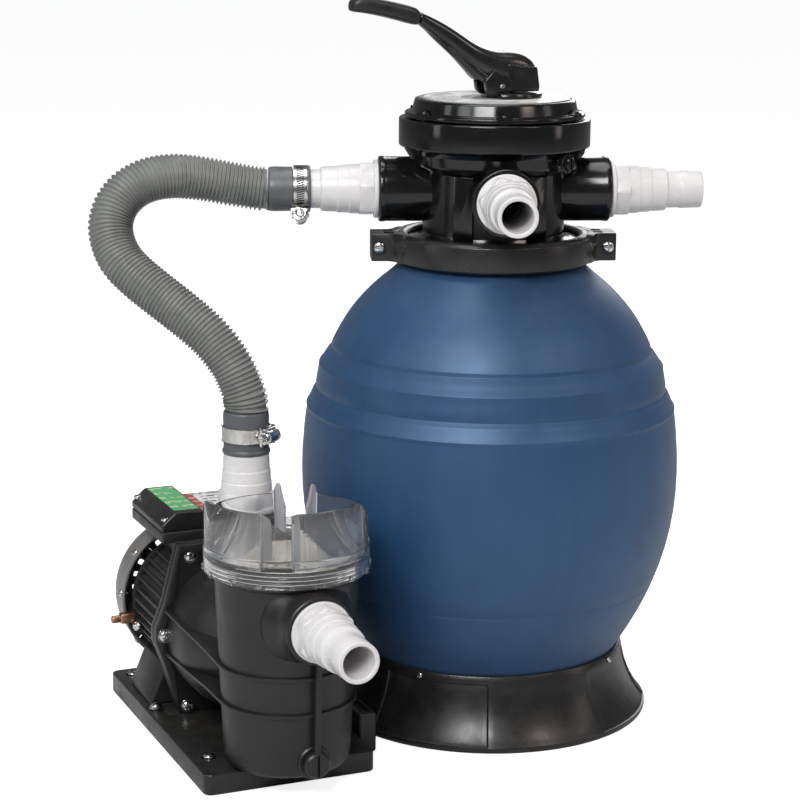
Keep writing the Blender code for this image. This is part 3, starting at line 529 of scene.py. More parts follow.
for node, at, turn in (("hose_cuff_upper", (CUFF_X, 0, 462.0), ALONG_MINUS_X),
                       ("hose_cuff_lower", (outlet.x, outlet.y, CUFF_Z), (0, 0, 0))):
    outline = [(17.6, CUFF_LENGTH), (18.0, CUFF_LENGTH), (18.9, 34.6), (19.2, 31.0), (19.0, 22.0),
               (19.0, 4.2), (19.9, 3.2), (20.2, 1.6), (19.7, 0.2), (17.3, 0.0), (17.0, 1.2),
               (17.0, CUFF_LENGTH)]
    cuff = softened(turned(node + "_sleeve", outline, 72, at, turn), 0.5, 2, 20.0)
    fitted(cuff, TANK, cuff_grey, "root", "hose_grey", node)

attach(hose_tube, "root")
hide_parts("hose")

# ------------------------------------------------------------------ hose clamps
# Worm-drive clamps of stainless strip, one round each cuff: a slotted band, a pressed
# housing over the worm, and a slotted hexagon screw that draws the band tight.


def brushed(name, colour, gloss=(0.16, 0.34), along="Z", stretch=30.0, depth=0.00001):
    """Bare metal with fine brushing round an axis, smears and a few scratches."""
    material, tree, shader, vector = blank(name)
    shader.inputs["Metallic"].default_value = 1.0
    grain_way = tree.nodes.new("ShaderNodeMapping")
    scale = [1.0, 1.0, 1.0]
    scale["XYZ".index(along)] = stretch
    grain_way.inputs["Scale"].default_value = scale
    tree.links.new(vector, grain_way.inputs["Vector"])
    lines = noise(tree, grain_way.outputs["Vector"], 260.0, 4.0, 0.7)
    dark = tuple(0.72 * channel for channel in colour)
    tint = placed(tree, cloudy_tone, vector, Scale=90.0, Colour=colour, Shade=dark).outputs["Colour"]
    tree.links.new(tint, shader.inputs["Base Color"])
    touched = placed(tree, handling, vector, Clean=gloss[0], Worn=gloss[1], Smear_scale=140.0)
    tree.links.new(touched.outputs["Roughness"], shader.inputs["Roughness"])
    bump = tree.nodes.new("ShaderNodeBump")
    bump.inputs["Distance"].default_value = depth
    tree.links.new(lines, bump.inputs["Height"])
    tree.links.new(bump.outputs["Normal"], shader.inputs["Normal"])
    return material


stainless = brushed("stainless", (0.66, 0.65, 0.63))
chrome = brushed("chromed_screws", (0.74, 0.73, 0.71), gloss=(0.08, 0.22), depth=0.000004)

BAND_IN, BAND_OUT, BAND_HALF = CUFF_R + 0.35, CUFF_R + 1.25, 6.3
WORM_R = CUFF_R + 5.2


def hose_clamp(which, at, turn, side):
    frame_of = (TANK @ Matrix.Translation(at)
                @ Euler([math.radians(angle) for angle in turn]).to_matrix().to_4x4()
                @ Matrix.Rotation(math.radians(side), 4, "Z"))
    rolled = [(BAND_OUT, BAND_HALF - 0.5), (BAND_OUT + 0.45, BAND_HALF), (BAND_OUT - 0.1, BAND_HALF + 0.2),
              (BAND_IN, BAND_HALF - 0.2)]
    outline = rolled + [(radius, -height) for radius, height in reversed(rolled)]
    band = turned(f"hose_clamp_{which}_band", outline[::-1], 120)
    slots = []
    for i in range(34):
        slot = block("slot", (BAND_OUT - 1.2, -0.55, -3.4), (BAND_OUT + 1.2, 0.55, 3.4), turn=(14, 0, 0))
        slot.data.transform(Matrix.Rotation(math.radians(32.0 + 5.4 * i), 4, "Z"))
        slots.append(slot)
    cut(band, gathered(*slots))
    tongue = plate("tongue", [(BAND_OUT, 0.0), *arc((0, 0), BAND_OUT + 0.75, -8.0, -46.0, 14),
                              *arc((0, 0), BAND_OUT - 0.1, -46.0, -8.0, 14)], -5.4, 5.4)
    fitted(gathered(band, tongue), frame_of, stainless, "root", "stainless", f"hose_clamp_{which}",
           smooth=40.0)

    # the housing: feet that hug the band, cheeks, and a barrel pressed over the worm
    barrel = round_bar("barrel", 5.1, -7.6, 7.6, 40, (WORM_R, 0, 0), ALONG_Y)
    saddle = block("saddle", (BAND_OUT - 0.3, -8.2, -6.9), (WORM_R + 0.6, 8.2, 6.9))
    softened(saddle, 1.0, 2)
    housing = united(saddle, barrel)
    for end in (-1, 1):
        lip = round_bar("lip", 5.9, end * 6.3 - 0.7, end * 6.3 + 0.7, 40, (WORM_R, 0, 0), ALONG_Y)
        flange = block("flange", (BAND_OUT - 0.2, end * 8.4 - 1.1, -7.9),
                       (BAND_OUT + 2.3, end * 8.4 + 1.1, 7.9))
        united(housing, lip, flange)
    cut(housing, round_bar("worm_way", 3.5, -20.0, 20.0, 32, (WORM_R, 0, 0), ALONG_Y))
    softened(housing, 0.3, 2, 40.0)
    fitted(housing, frame_of, stainless, "root", "stainless",
           smooth=40.0).name = f"hose_clamp_{which}_housing"

    head = [(0.0, 13.7), (2.6, 13.7), (3.3, 13.0), (3.3, 10.6), (0.0, 10.6)]
    screw = turned(f"hose_clamp_{which}_worm", head, 6)
    washer = turned("washer", [(0.0, 10.9), (4.4, 10.9), (4.4, 9.9), (0.0, 9.9)], 36)
    thread = [(2.95, 9.6 - 0.5 * i) if i % 2 else (2.3, 9.6 - 0.5 * i) for i in range(40)]
    shank = turned("shank", [(0.0, 10.4), (2.3, 10.4), *thread, (0.0, thread[-1][1])], 32)
    united(screw, washer, shank)
    cut(screw, block("driver_slot", (-5.0, -0.55, 12.6), (5.0, 0.55, 16.0)))
    moved(screw, (WORM_R, 0, 0), ALONG_MINUS_Y)
    fitted(softened(screw, 0.15, 1, 40.0), frame_of, chrome, "root", "stainless", f"hose_clamp_{which}_screw")


hose_clamp("upper", (CUFF_X - 9.0, 0, 462.0), ALONG_MINUS_X, 205.0)
hose_clamp("lower", (outlet.x, outlet.y, CUFF_Z + 17.0), (0, 0, 0), -35.0)

# ------------------------------------------------------------------ tank
# A blow-moulded polyethylene shell, 331 mm across, satin blue. Two stepped belts stiffen
# its shoulder, a fine seam runs round its foot, and a flange at its neck takes the valve.

WAIST_Z, WAIST_R = 215.0, 165.6
BELTS = ((324.0, 310.0), (289.0, 274.0))   # each belt's crease above and crest below
STEP = 1.9


def shell_radius(height):
    if height >= WAIST_Z:
        return WAIST_R * (1.0 - ((height - WAIST_Z) / 203.0) ** 2.116) ** (1.0 / 2.073)
    return WAIST_R * (1.0 - ((WAIST_Z - height) / 276.5) ** 2.096)


def belt_offset(height):
    """How far the wall stands in or out of the plain egg: a pinched crease, then a proud crest."""
    marks = [(356.0, 0.0)]
    for crease, crest in BELTS:
        marks += [(crease + 3.5, -0.8 * STEP), (crease, -STEP - 1.1), (crease - 3.5, -0.5 * STEP),
                  (crest + 3.0, 0.35 * STEP), (crest, 0.8 * STEP + 0.5), (crest - 3.0, 0.5 * STEP)]
    marks.append((246.0, 0.0))
    for (upper, above), (lower, below) in zip(marks, marks[1:]):
        if lower <= height <= upper:
            return above + (below - above) * (upper - height) / (upper - lower)
    return 0.0


heights = [388, 382, 376, 369, 362, 355, 348, 341, 334, 327.5, 324, 320.5, 317, 313, 310, 307, 302, 297,
           292.5, 289, 285.5, 281, 277, 274, 271, 265, 256, 246, 232, 216, 200, 184, 168, 152, 136, 123,
           121.4, 120.6, 119, 108, 98, 90, 82, 74]
wall = [(shell_radius(z) + belt_offset(z) - (0.5 if 120 < z < 122 else 0.0), z) for z in heights]
neck = [(62.0, 398.0), (62.0, 410.6), (62.6, 411.0), (79.4, 411.0), (80.0, 410.4), (80.0, 403.0),
        (74.0, 402.4), (73.4, 400.6), (76.0, 399.0), (80.5, 396.6), (85.0, 393.2)]
lining = [(shell_radius(z) - 4.0, z) for z in (76, 100, 140, 180, 215, 250, 290, 330, 360, 384)]
under = [(shell_radius(66.0), 66.0), (117.0, 60.0), (111.0, 52.0), (102.0, 46.5), (80.0, 38.0), (0.0, 33.0)]
shell = turned("tank_shell", [(0.0, 37.5), (79.0, 42.5), (101.0, 51.5), *lining, *neck, *wall, *under], 144)
softened(shell, 0.7, 2, 16.0)

# satin polyethylene: cloudy blue, faint vertical draw lines, soft sheen over a waxy surface
material, tree, shader, vector = blank("tank_blue")
TANK_BLUE = material
tint = placed(tree, cloudy_tone, vector, Scale=7.0, Colour=(0.0105, 0.047, 0.122),
              Shade=(0.0080, 0.034, 0.090)).outputs["Colour"]
draw = tree.nodes.new("ShaderNodeMapping")
draw.inputs["Scale"].default_value = (9.0, 9.0, 1.0)
tree.links.new(vector, draw.inputs["Vector"])
streaks = noise(tree, draw.outputs["Vector"], 8.0, 5.0, 0.7)
tint = blended(tree, spread(tree, streaks, 0.42, 0.75, 0.0, 0.35), tint, (0.018, 0.066, 0.156))
tint = placed(tree, dust_film, vector, Colour=tint, Amount=0.05).outputs["Colour"]
tree.links.new(tint, shader.inputs["Base Color"])
touched = placed(tree, handling, vector, Clean=0.44, Worn=0.53, Smear_scale=14.0)
tree.links.new(touched.outputs["Roughness"], shader.inputs["Roughness"])
skin = placed(tree, mould_skin, vector, Grain=700.0, Waves=22.0, Wave_share=3.0)
bump = tree.nodes.new("ShaderNodeBump")
bump.inputs["Distance"].default_value = 0.00006
tree.links.new(skin.outputs["Height"], bump.inputs["Height"])
tree.links.new(bump.outputs["Normal"], shader.inputs["Normal"])
shader.inputs["Specular IOR Level"].default_value = 1.0
shader.inputs["Specular Tint"].default_value = (0.50, 0.73, 1.0, 1.0)
shader.inputs["Sheen Weight"].default_value = 0.10
shader.inputs["Sheen Roughness"].default_value = 0.5
shader.inputs["Sheen Tint"].default_value = (0.55, 0.70, 1.0, 1.0)
fitted(shell, TANK, TANK_BLUE, "root", "tank_blue", "tank_body", smooth=60.0)

# ------------------------------------------------------------------ tank base
# A black moulded skirt that the tank's round foot sits in. Its wall is stiffened by eight
# panels, every second one set back, and a bead runs round its foot.

satin_black = moulded("satin_black", (0.0105, 0.0100, 0.0096), (0.016, 0.0150, 0.0142), gloss=(0.26, 0.42),
                      tone=30.0, grain=1500.0, depth=0.00003, dust=0.05)
outline = [(117.8, 60.6), (119.6, 60.2), (121.6, 54.0), (122.8, 47.0), (125.0, 38.0), (128.2, 29.5),
           (131.8, 21.5), (136.2, 14.0), (140.6, 7.6), (143.2, 5.0), (143.4, 2.0), (142.6, 0.0),
           (138.0, 0.0), (134.4, 8.0), (127.0, 21.0), (119.5, 44.0), (112.0, 45.4), (108.5, 47.6),
           (116.6, 58.6)]
skirt = turned("tank_skirt", outline, 144)
FIRST_EDGE, PANEL = -96.0, 45.0
bpy.ops.object.mode_set(mode="EDIT")
mesh = bmesh.from_edit_mesh(skirt.data)
bpy.ops.mesh.select_all(action="DESELECT")
for face in mesh.faces:
    centre = face.calc_center_median()
    angle = (math.degrees(math.atan2(centre.y, centre.x)) - FIRST_EDGE) % (2.0 * PANEL)
    if face.normal.to_2d().dot(centre.to_2d()) > 0.0 and 6.0 < centre.z < 56.0 and angle > PANEL:
        face.select_set(True)
bmesh.update_edit_mesh(skirt.data)
bpy.ops.mesh.inset(thickness=0.9, depth=-1.5)
bpy.ops.object.mode_set(mode="OBJECT")
softened(skirt, 0.5, 2, 25.0)
fitted(skirt, TANK, satin_black, "root", "satin_black", "tank_base", smooth=30.0)


def pan_screw(name, head_r, head_h, shank_r, shank_l):
    """A pan-head screw standing on z = 0: domed head with a cross recess, then its shank."""
    dome = [(0.0, head_h), *[(head_r * math.sin(a), head_h * (0.35 + 0.65 * math.cos(a)))
                             for a in (0.3, 0.6, 0.9, 1.2, 1.45)],
            (head_r, 0.3 * head_h), (head_r, 0.0), (shank_r, 0.0), (shank_r, -shank_l), (0.0, -shank_l)]
    screw = turned(name, dome, 40)
    arm, half = 0.62 * head_r, 0.13 * head_r
    for quarter in (0, 90):
        cut(screw, block("recess", (-arm, -half, 0.45 * head_h), (arm, half, 2.0 * head_h),
                         turn=(0, 0, quarter)))
    return softened(screw, 0.03 * head_r, 1, 40.0)


# four small screws hold the tank's foot down through the skirt's rim
rim_screw = pan_screw("rim_screw", 2.6, 1.6, 1.2, 6.0)
rims = []
for i in range(4):
    place = Matrix.Rotation(math.radians(-124.0 + 90.0 * i), 4, "Z") @ Matrix.Translation((121.4, 0, 56.4))
    rims.append(copied(rim_screw, f"rim_screw_{i}", place @ Matrix.Rotation(math.radians(72.0), 4, "Y")))
bpy.data.objects.remove(rim_screw)
fitted(gathered(*rims), TANK, chrome, "root", "stainless").name = "rim_screws"

# ------------------------------------------------------------------ neck clamp
# Two half rings of glass-filled nylon close round the tank's flange and the valve's foot.
# Each has a lug at both ends, drawn together by a cross-head screw and a nut.

CLAMP_LOW, CLAMP_HIGH, CLAMP_OUT, LUG_X, LUG_Y = 400.5, 425.5, 86.0, 106.0, 14.0
section = [(CLAMP_OUT, CLAMP_HIGH - 3.2), (CLAMP_OUT + 0.2, 413.0), (CLAMP_OUT, CLAMP_LOW + 1.5),
           (84.0, CLAMP_LOW), (74.5, CLAMP_LOW), (74.5, 402.5), (80.9, 402.5), (80.9, 421.5), (74.6, 421.5),
           (74.6, 423.6), (76.0, CLAMP_HIGH - 0.6), (78.5, CLAMP_HIGH), (83.0, CLAMP_HIGH - 0.6)]
for name, side in (("clamp_half_front", -1), ("clamp_half_rear", 1)):
    half = softened(turned(name + "_ring", section, 144), 0.5, 2, 25.0)
    bpy.ops.object.mode_set(mode="EDIT")
    bpy.ops.mesh.select_all(action="SELECT")
    bpy.ops.mesh.bisect(plane_co=(0, side * 0.4, 0), plane_no=(0, side, 0), use_fill=True, clear_inner=True)
    bpy.ops.object.mode_set(mode="OBJECT")
    for end in (-1, 1):
        tip, root = LUG_X, 92.0
        top_view = [(tip, 0.6), (tip, LUG_Y), (root, LUG_Y), (88.6, 16.0), (86.0, 20.0), (83.8, 25.5),
                    (80.0, 31.0), (76.5, 31.0), (82.0, 0.6)]
        lug = plate("lug", [(end * x, side * y) for x, y in top_view], CLAMP_LOW + 0.5, CLAMP_HIGH - 0.4)
        softened(lug, 0.8, 2, 40.0)
        # the lug is cored out from above, beside the screw
        core = block("core", (86.5, 3.0, CLAMP_HIGH - 4.0), (95.0, 10.5, CLAMP_HIGH + 2.0))
        core.data.transform(Matrix.Diagonal((end, side, 1.0, 1.0)))
        if end * side < 0:
            core.data.flip_normals()
        cut(lug, core)
        united(half, lug)
        cut(half, round_bar("hole", 3.0, -30.0, 30.0, 32, (end * 99.0, 0, 413.0), ALONG_Y))
        counterbore = round_bar("counterbore", 6.6, LUG_Y - 0.9, LUG_Y + 5.0, 40, (end * 99.0, 0, 413.0),
                                ALONG_Y if side > 0 else ALONG_MINUS_Y)
        cut(half, counterbore)
    fitted(half, TANK, satin_black, "root", "satin_black", name, smooth=35.0)

clamp_screw = pan_screw("clamp_screw", 5.1, 3.4, 2.5, 33.0)
nut = round_bar("nut", 5.2, 0.0, 4.2, 6)
cut(nut, round_bar("nut_bore", 2.6, -1.0, 6.0, 24))
softened(nut, 0.3, 1)
for side, x in (("left", -99.0), ("right", 99.0)):
    front = Matrix.Translation((x, 0, 413.0)) @ Matrix.Rotation(math.pi / 2, 4, "X")
    screw = copied(clamp_screw, f"clamp_screw_{side}_pan", front @ Matrix.Translation((0, 0, LUG_Y - 0.8)))
    fitted(screw, TANK, chrome, "root", "stainless", f"clamp_screw_{side}")
    back = copied(nut, f"clamp_nut_{side}_hex", front @ Matrix.Translation((0, 0, -LUG_Y - 4.1)))
    fitted(back, TANK, chrome, "root", "stainless", f"clamp_nut_{side}")
bpy.data.objects.remove(clamp_screw)
bpy.data.objects.remove(nut)

# ------------------------------------------------------------------ valve body
# The six-way valve's housing, moulded in glossy black ABS: a round chamber with three
# threaded ports at its sides and front, under a wide drum that the cover is screwed to.

gloss_black = moulded("gloss_black", (0.0032, 0.0032, 0.0037), (0.0052, 0.0050, 0.0051), gloss=(0.10, 0.24),
                      tone=35.0, grain=900.0, depth=0.000012, waves=26.0, wave_share=4.0, dust=0.012)
PORT_Z, PORT_R, PORT_REACH = 462.0, 27.75, 99.6
outline = [(0.0, 434.0), (55.0, 434.0), (55.0, 518.0), (73.8, 518.0), (73.8, 523.6), (81.0, 523.6),
           (81.8, 523.2), (82.2, 522.4), (82.2, 501.0), (81.4, 499.6), (77.0, 498.6), (73.6, 494.0),
           (72.4, 486.0), (71.0, 484.0), (63.4, 479.6), (62.0, 478.0), (61.2, 426.0), (62.8, 422.6),
           (66.0, 420.9), (79.6, 420.9), (80.0, 420.4), (80.0, 414.3), (50.0, 414.0), (50.0, 428.0),
           (0.0, 428.0)]
body = turned("valve_chamber", outline, 144)
softened(body, 0.5, 2, 22.0)
port = [(0.0, 52.0), (PORT_R, 52.0), (PORT_R, 94.0), (28.0, 94.6), (28.2, 95.4), (28.2, 98.6),
        (27.4, PORT_REACH), (20.7, PORT_REACH), (19.9, 98.2), (19.9, 60.0), (0.0, 60.0)]
for turn in (ALONG_X, ALONG_MINUS_X, ALONG_MINUS_Y):
    plug_of_air = round_bar("plug_of_air", 19.9, 30.0, 62.0, 72, (0, 0, PORT_Z), turn)
    nozzle = turned("nozzle", port, 96, (0, 0, PORT_Z), turn)
    softened(nozzle, 0.35, 2, 30.0)
    united(body, nozzle)
    cut(body, plug_of_air)
# curved webs stiffen the drum over each side port, and the chamber has flats either side
for side in (-1, 1):
    for depth in (-15.0, 15.0):
        fin = [(57.0, 485.0), (57.0, 504.0), (77.0, 504.0),
               *[(77.0 - 9.0 * (1 - math.cos(a)), 500.0 - 12.0 * math.sin(a))
                                                              for a in (0.0, 0.5, 1.0, 1.57)]]
        web = plate("web", [(side * x, z) for x, z in fin], depth - 1.6, depth + 1.6, turn=ALONG_MINUS_Y)
        united(body, softened(web, 0.4, 2))
for angle in (-60.0, -120.0, 60.0, 120.0, 90.0):
    rib = block("rib", (60.0, -9.0, 421.5), (64.0, 9.0, 478.5), turn=(0, 0, angle))
    united(body, softened(rib, 0.8, 2))
for x in (-30.0, 30.0):
    cut(body, round_bar("passage", 7.0, 420.0, 440.0, 32, (x, 32.0, 0)))
# the tapping for a pressure gauge stands on a flat tongue at the right of the front port
GAUGE = (0, 0, 490.0)
GAUGE_TURN = (90, 0, 45)
tongue = softened(block("tongue", (66.0, -13.0, 483.6), (79.0, 13.0, 489.5), turn=(0, 0, -45)), 1.0, 2)
tapping = turned("tapping", [(0.0, 60.0), (8.2, 60.0), (8.2, 74.0), (7.6, 74.8), (0.0, 74.8)], 48, GAUGE,
                 GAUGE_TURN)
united(body, tongue, tapping)
cut(body, round_bar("tapping_bore", 4.4, 62.5, 90.0, 32, GAUGE, GAUGE_TURN))
fitted(body, TANK, gloss_black, "root", "gloss_black", "valve_body", smooth=28.0)

plug = turned("gauge_plug_square", [(0.0, 83.0), (4.6, 83.0), (5.6, 82.2), (6.0, 79.6), (8.4, 79.2),
                                    (8.6, 75.6), (4.0, 75.4), (4.0, 64.0), (0.0, 64.0)], 48, GAUGE,
              GAUGE_TURN)
cut(plug, block("plug_slot", (77.5, -0.8, 480.0), (86.0, 0.8, 500.0), turn=(0, 0, -45)))
fitted(plug, TANK, gloss_black, "root", "gloss_black", "gauge_plug")

# ------------------------------------------------------------------ valve cover
# The cover closes the drum. Six black screws in round lugs hold it, and a printed metal
# disc on its top has a field for each of the six settings.

SCREW_ANGLES, SCREW_CIRCLE = (-30, 30, 90, 150, 210, 270), 73.2
outline = [(68.9, 538.6), (67.6, 539.9), (66.4, 540.0), (65.0, 539.5), (8.3, 539.5), (8.3, 520.0),
           (73.3, 520.0), (73.3, 524.4), (76.6, 524.4), (77.2, 525.0), (77.2, 527.9), (76.4, 528.7),
           (71.8, 529.0), (70.9, 530.2)]
cover = softened(turned("valve_cap", outline, 144), 0.4, 2, 22.0)
for angle in SCREW_ANGLES:
    a = math.radians(angle)
    place = (SCREW_CIRCLE * math.cos(a), SCREW_CIRCLE * math.sin(a), 0)
    lug = softened(round_bar("lug", 7.2, 524.6, 530.4, 40, place), 0.6, 2)
    united(cover, lug)
    cut(cover, round_bar("countersink", 5.3, 529.4, 533.0, 32, place))
trim = turned("trim", [(77.9, 545.0), (90.0, 545.0), (90.0, 515.0), (77.9, 515.0)], 144)
cut(cover, trim)
fitted(cover, TANK, gloss_black, "root", "gloss_black", "valve_cover", smooth=28.0)

cover_screw = pan_screw("cover_screw", 4.4, 3.2, 2.2, 9.0)
screws = []
for i, angle in enumerate(SCREW_ANGLES):
    a = math.radians(angle)
    place = Matrix.Translation((SCREW_CIRCLE * math.cos(a), SCREW_CIRCLE * math.sin(a), 529.5))
    screws.append(copied(cover_screw, f"cover_screw_{i}", place @ Matrix.Rotation(0.7 * i, 4, "Z")))
bpy.data.objects.remove(cover_screw)
black_zinc = brushed("black_zinc", (0.05, 0.05, 0.055), gloss=(0.25, 0.4))
fitted(gathered(*screws), TANK, black_zinc, "root", "gloss_black").name = "cover_screws"

disc = turned("setting_disc", [(64.2, 540.55), (63.9, 540.85), (12.4, 540.85), (12.0, 540.5), (12.0, 540.0),
                               (64.2, 540.0)], 144)
material, tree, shader, vector = blank("setting_print")
to_axis = tree.nodes.new("ShaderNodeMapping")
to_axis.vector_type = "POINT"
to_axis.inputs["Location"].default_value = tuple(-(TANK @ Vector((0, 0, 0))))
tree.links.new(vector, to_axis.inputs["Vector"])
parts = tree.nodes.new("ShaderNodeSeparateXYZ")
tree.links.new(to_axis.outputs["Vector"], parts.inputs[0])
flat = tree.nodes.new("ShaderNodeCombineXYZ")
tree.links.new(parts.outputs["X"], flat.inputs["X"])
tree.links.new(parts.outputs["Y"], flat.inputs["Y"])
length = tree.nodes.new("ShaderNodeVectorMath")
length.operation = "LENGTH"
tree.links.new(flat.outputs[0], length.inputs[0])
radius = length.outputs["Value"]
bearing = arithmetic(tree, "ARCTAN2", parts.outputs["Y"], parts.outputs["X"])
sixth = arithmetic(tree, "FRACT", arithmetic(tree, "MULTIPLY", bearing, 6.0 / math.tau), 0.0)
edge = arithmetic(tree, "ABSOLUTE", arithmetic(tree, "SUBTRACT", sixth, 0.5), 0.0)
divider = spread(tree, edge, 0.488, 0.494)
rim = arithmetic(tree, "MAXIMUM", spread(tree, radius, 0.0612, 0.0614), spread(tree, radius, 0.0292, 0.0290))
lines = arithmetic(tree, "MAXIMUM",
                   arithmetic(tree, "MULTIPLY", divider, spread(tree, radius, 0.029, 0.0292)), rim)
blocky = arithmetic(tree, "MULTIPLY", spread(tree, edge, 0.30, 0.28),
                    arithmetic(tree, "MULTIPLY", spread(tree, radius, 0.046, 0.0462),
                               spread(tree, radius, 0.056, 0.0558)))
paper = placed(tree, cloudy_tone, vector, Scale=45.0, Colour=(0.80, 0.79, 0.76),
               Shade=(0.72, 0.71, 0.68)).outputs["Colour"]
ink = blended(tree, arithmetic(tree, "MULTIPLY", blocky, 0.55), paper, (0.25, 0.27, 0.30))
ink = blended(tree, lines, ink, (0.30, 0.30, 0.31))
tree.links.new(ink, shader.inputs["Base Color"])
touched = placed(tree, handling, vector, Clean=0.22, Worn=0.38, Smear_scale=60.0)
tree.links.new(touched.outputs["Roughness"], shader.inputs["Roughness"])
fitted(disc, TANK, material, "root", "label_white", "cover_label")

# ------------------------------------------------------------------ lever
# Pressing the lever down lifts the rotor off its gasket, so that it can be turned to the
# next setting. It is a hollow moulding in black nylon, hinged on a steel pin, with a grip.


PIN_X, PIN_Z = 1.0, 551.0


def limb(name, stations, sides=16, squareness=2.0, end=0.5):
    """Grows a limb along X. Each station is (x, low, high, width); a section is an oval whose
    corners fill out as squareness rises."""
    deselect()
    x, low, high, width = stations[0]
    bpy.ops.mesh.primitive_circle_add(vertices=sides, radius=1.0, fill_type="NGON", location=(0, 0, 0),
                                      rotation=(math.pi / 2, 0, math.pi / 2))
    piece = kept(name)
    for vertex in piece.data.vertices:
        for i in (1, 2):
            bearing = vertex.co[i]
            vertex.co[i] = math.copysign(abs(bearing) ** (2.0 / squareness), bearing)
        vertex.co = (x, 0.5 * width * vertex.co.y, 0.5 * (low + high) + 0.5 * (high - low) * vertex.co.z)
    bpy.ops.object.mode_set(mode="EDIT")
    bpy.ops.mesh.select_all(action="SELECT")
    for before, after in zip(stations, stations[1:]):
        x, low, high, width = after
        shift = Vector((x - before[0], 0.0, 0.5 * (low + high - before[1] - before[2])))
        bpy.ops.mesh.extrude_region_move(TRANSFORM_OT_translate={"value": shift})
        bpy.ops.transform.resize(value=(1.0, width / before[3], (high - low) / (before[2] - before[1])),
                                 center_override=(x, 0.0, 0.5 * (low + high)))
    bpy.ops.mesh.select_all(action="SELECT")
    bpy.ops.mesh.normals_make_consistent(inside=False)
    bpy.ops.object.mode_set(mode="OBJECT")
    return piece


nylon_black = moulded("nylon_black", (0.0070, 0.0068, 0.0066), (0.011, 0.0105, 0.010), gloss=(0.17, 0.30),
                      tone=40.0, grain=1100.0, depth=0.000015, wave_share=2.0, dust=0.04)
hood = limb("lever_hood", [(-70.5, 603.5, 613.6, 13.0), (-66.0, 600.0, 612.6, 16.0),
                           (-55.0, 591.0, 608.0, 17.5), (-44.0, 582.5, 602.3, 18.5),
                           (-34.0, 574.5, 596.0, 20.0), (-25.0, 567.0, 589.8, 22.5),
                           (-16.0, 560.0, 584.6, 26.0), (-7.0, 554.5, 581.4, 30.5),
                           (2.0, 551.0, 579.6, 34.0), (11.0, 549.0, 580.0, 36.0),
                           (20.0, 547.6, 579.0, 36.0), (27.0, 547.2, 576.0, 35.0),
                           (31.6, 547.2, 571.0, 32.5), (33.8, 548.6, 563.0, 28.0)], 20, 2.7)
applied(hood, "SUBSURF", levels=2, render_levels=2)
belly = limb("belly", [(-68.0, 602.4, 609.0, 8.0), (-55.0, 589.2, 600.0, 9.0), (-44.0, 580.0, 592.0, 10.5),
                       (-34.0, 570.4, 584.0, 13.0), (-26.0, 561.6, 576.0, 17.0), (-20.0, 555.0, 570.0, 22.0),
                       (-10.0, 548.0, 562.0, 28.0), (0.0, 546.4, 560.0, 31.0)], 16, 3.0)
applied(belly, "SUBSURF", levels=2, render_levels=2)
skirt = softened(plate("skirt", [(6.0, 546.4), (33.8, 546.4), (34.2, 551.0), (32.0, 567.0), (6.0, 570.0)],
                       -17.6, 17.6, turn=ALONG_MINUS_Y), 1.4, 3)
cheeks = []
for side in (-1, 1):
    low, high = sorted((side * 10.7, side * 17.9))
    outer = [(-14.6, 556.0), (-13.0, 546.0), (-9.0, 542.4), *arc((PIN_X, PIN_Z), 8.6, -115.0, 60.0, 12),
             (-6.0, 566.0)]
    cheek = softened(plate("cheek", outer, -high, -low, turn=ALONG_MINUS_Y), 0.9, 3)
    cheeks.append(cheek)
lever = united(hood, belly, skirt, *cheeks)
cut(lever, block("stem_slot", (-12.8, -8.8, 530.0), (18.0, 8.8, 562.4)),
    block("fork_gap", (-48.0, -10.6, 530.0), (-8.8, 10.6, 556.2)),
    round_bar("pin_hole", 2.75, -30.0, 30.0, 32, (PIN_X, 0, PIN_Z), ALONG_Y))
tang = softened(plate("tang", [(-60.0, 607.6), (-107.6, 618.4), (-107.6, 615.9), (-60.0, 603.2)], -3.4, 3.4,
                      turn=ALONG_MINUS_Y), 0.5, 2)
united(lever, tang)
fitted(lever, HANDLE, nylon_black, "lever", "satin_black", "lever", smooth=38.0)

grip = limb("lever_grip_sleeve", [(-69.2, 603.0, 613.4, 17.0), (-70.4, 602.4, 615.6, 21.0),
                                  (-73.6, 602.2, 617.6, 24.0), (-80.0, 603.8, 619.2, 24.8),
                                  (-92.0, 607.0, 621.8, 24.8), (-104.0, 609.8, 624.4, 24.6),
                                  (-113.0, 611.6, 625.8, 24.0), (-121.0, 612.8, 626.2, 22.6),
                                  (-126.6, 613.4, 624.0, 20.0), (-128.6, 614.2, 620.4, 16.0)], 20, 3.6)
applied(grip, "SUBSURF", levels=2, render_levels=2)
cut(grip, plate("pocket", [(-60.0, 610.3), (-108.4, 621.0), (-108.4, 615.0), (-60.0, 599.6)], -4.3, 4.3,
                turn=ALONG_MINUS_Y))
grip_black = moulded("grip_rubber", (0.0085, 0.0084, 0.0084), (0.013, 0.0125, 0.012), gloss=(0.30, 0.46),
                     tone=70.0, grain=2600.0, depth=0.00003, dust=0.06)
fitted(grip, HANDLE, grip_black, "lever", "seal_rubber", "lever_grip", smooth=38.0)

pin = turned("lever_pin_bar", [(0.0, 18.5), (1.7, 18.45), (2.4, 17.9), (2.4, -17.9), (1.7, -18.45),
                               (0.0, -18.5)], 32,
             (PIN_X, 0, PIN_Z), ALONG_Y)
fitted(pin, HANDLE, chrome, "rotor", "stainless", "lever_pin")

boss = turned("index_boss", [(0.0, 545.2), (28.8, 545.2), (30.2, 544.6), (30.8, 543.4), (30.8, 541.6),
                             (30.2, 541.2), (0.0, 541.2)], 96, (10.0, 0, 0))
cut(boss, block("notch", (-30.0, -30.0, 530.0), (-3.4, 30.0, 550.0)), round_bar("eye", 8.4, 530.0, 550.0, 48))
fitted(softened(boss, 0.3, 2, 40.0), HANDLE, nylon_black, "spindle", "satin_black", "index_plate")

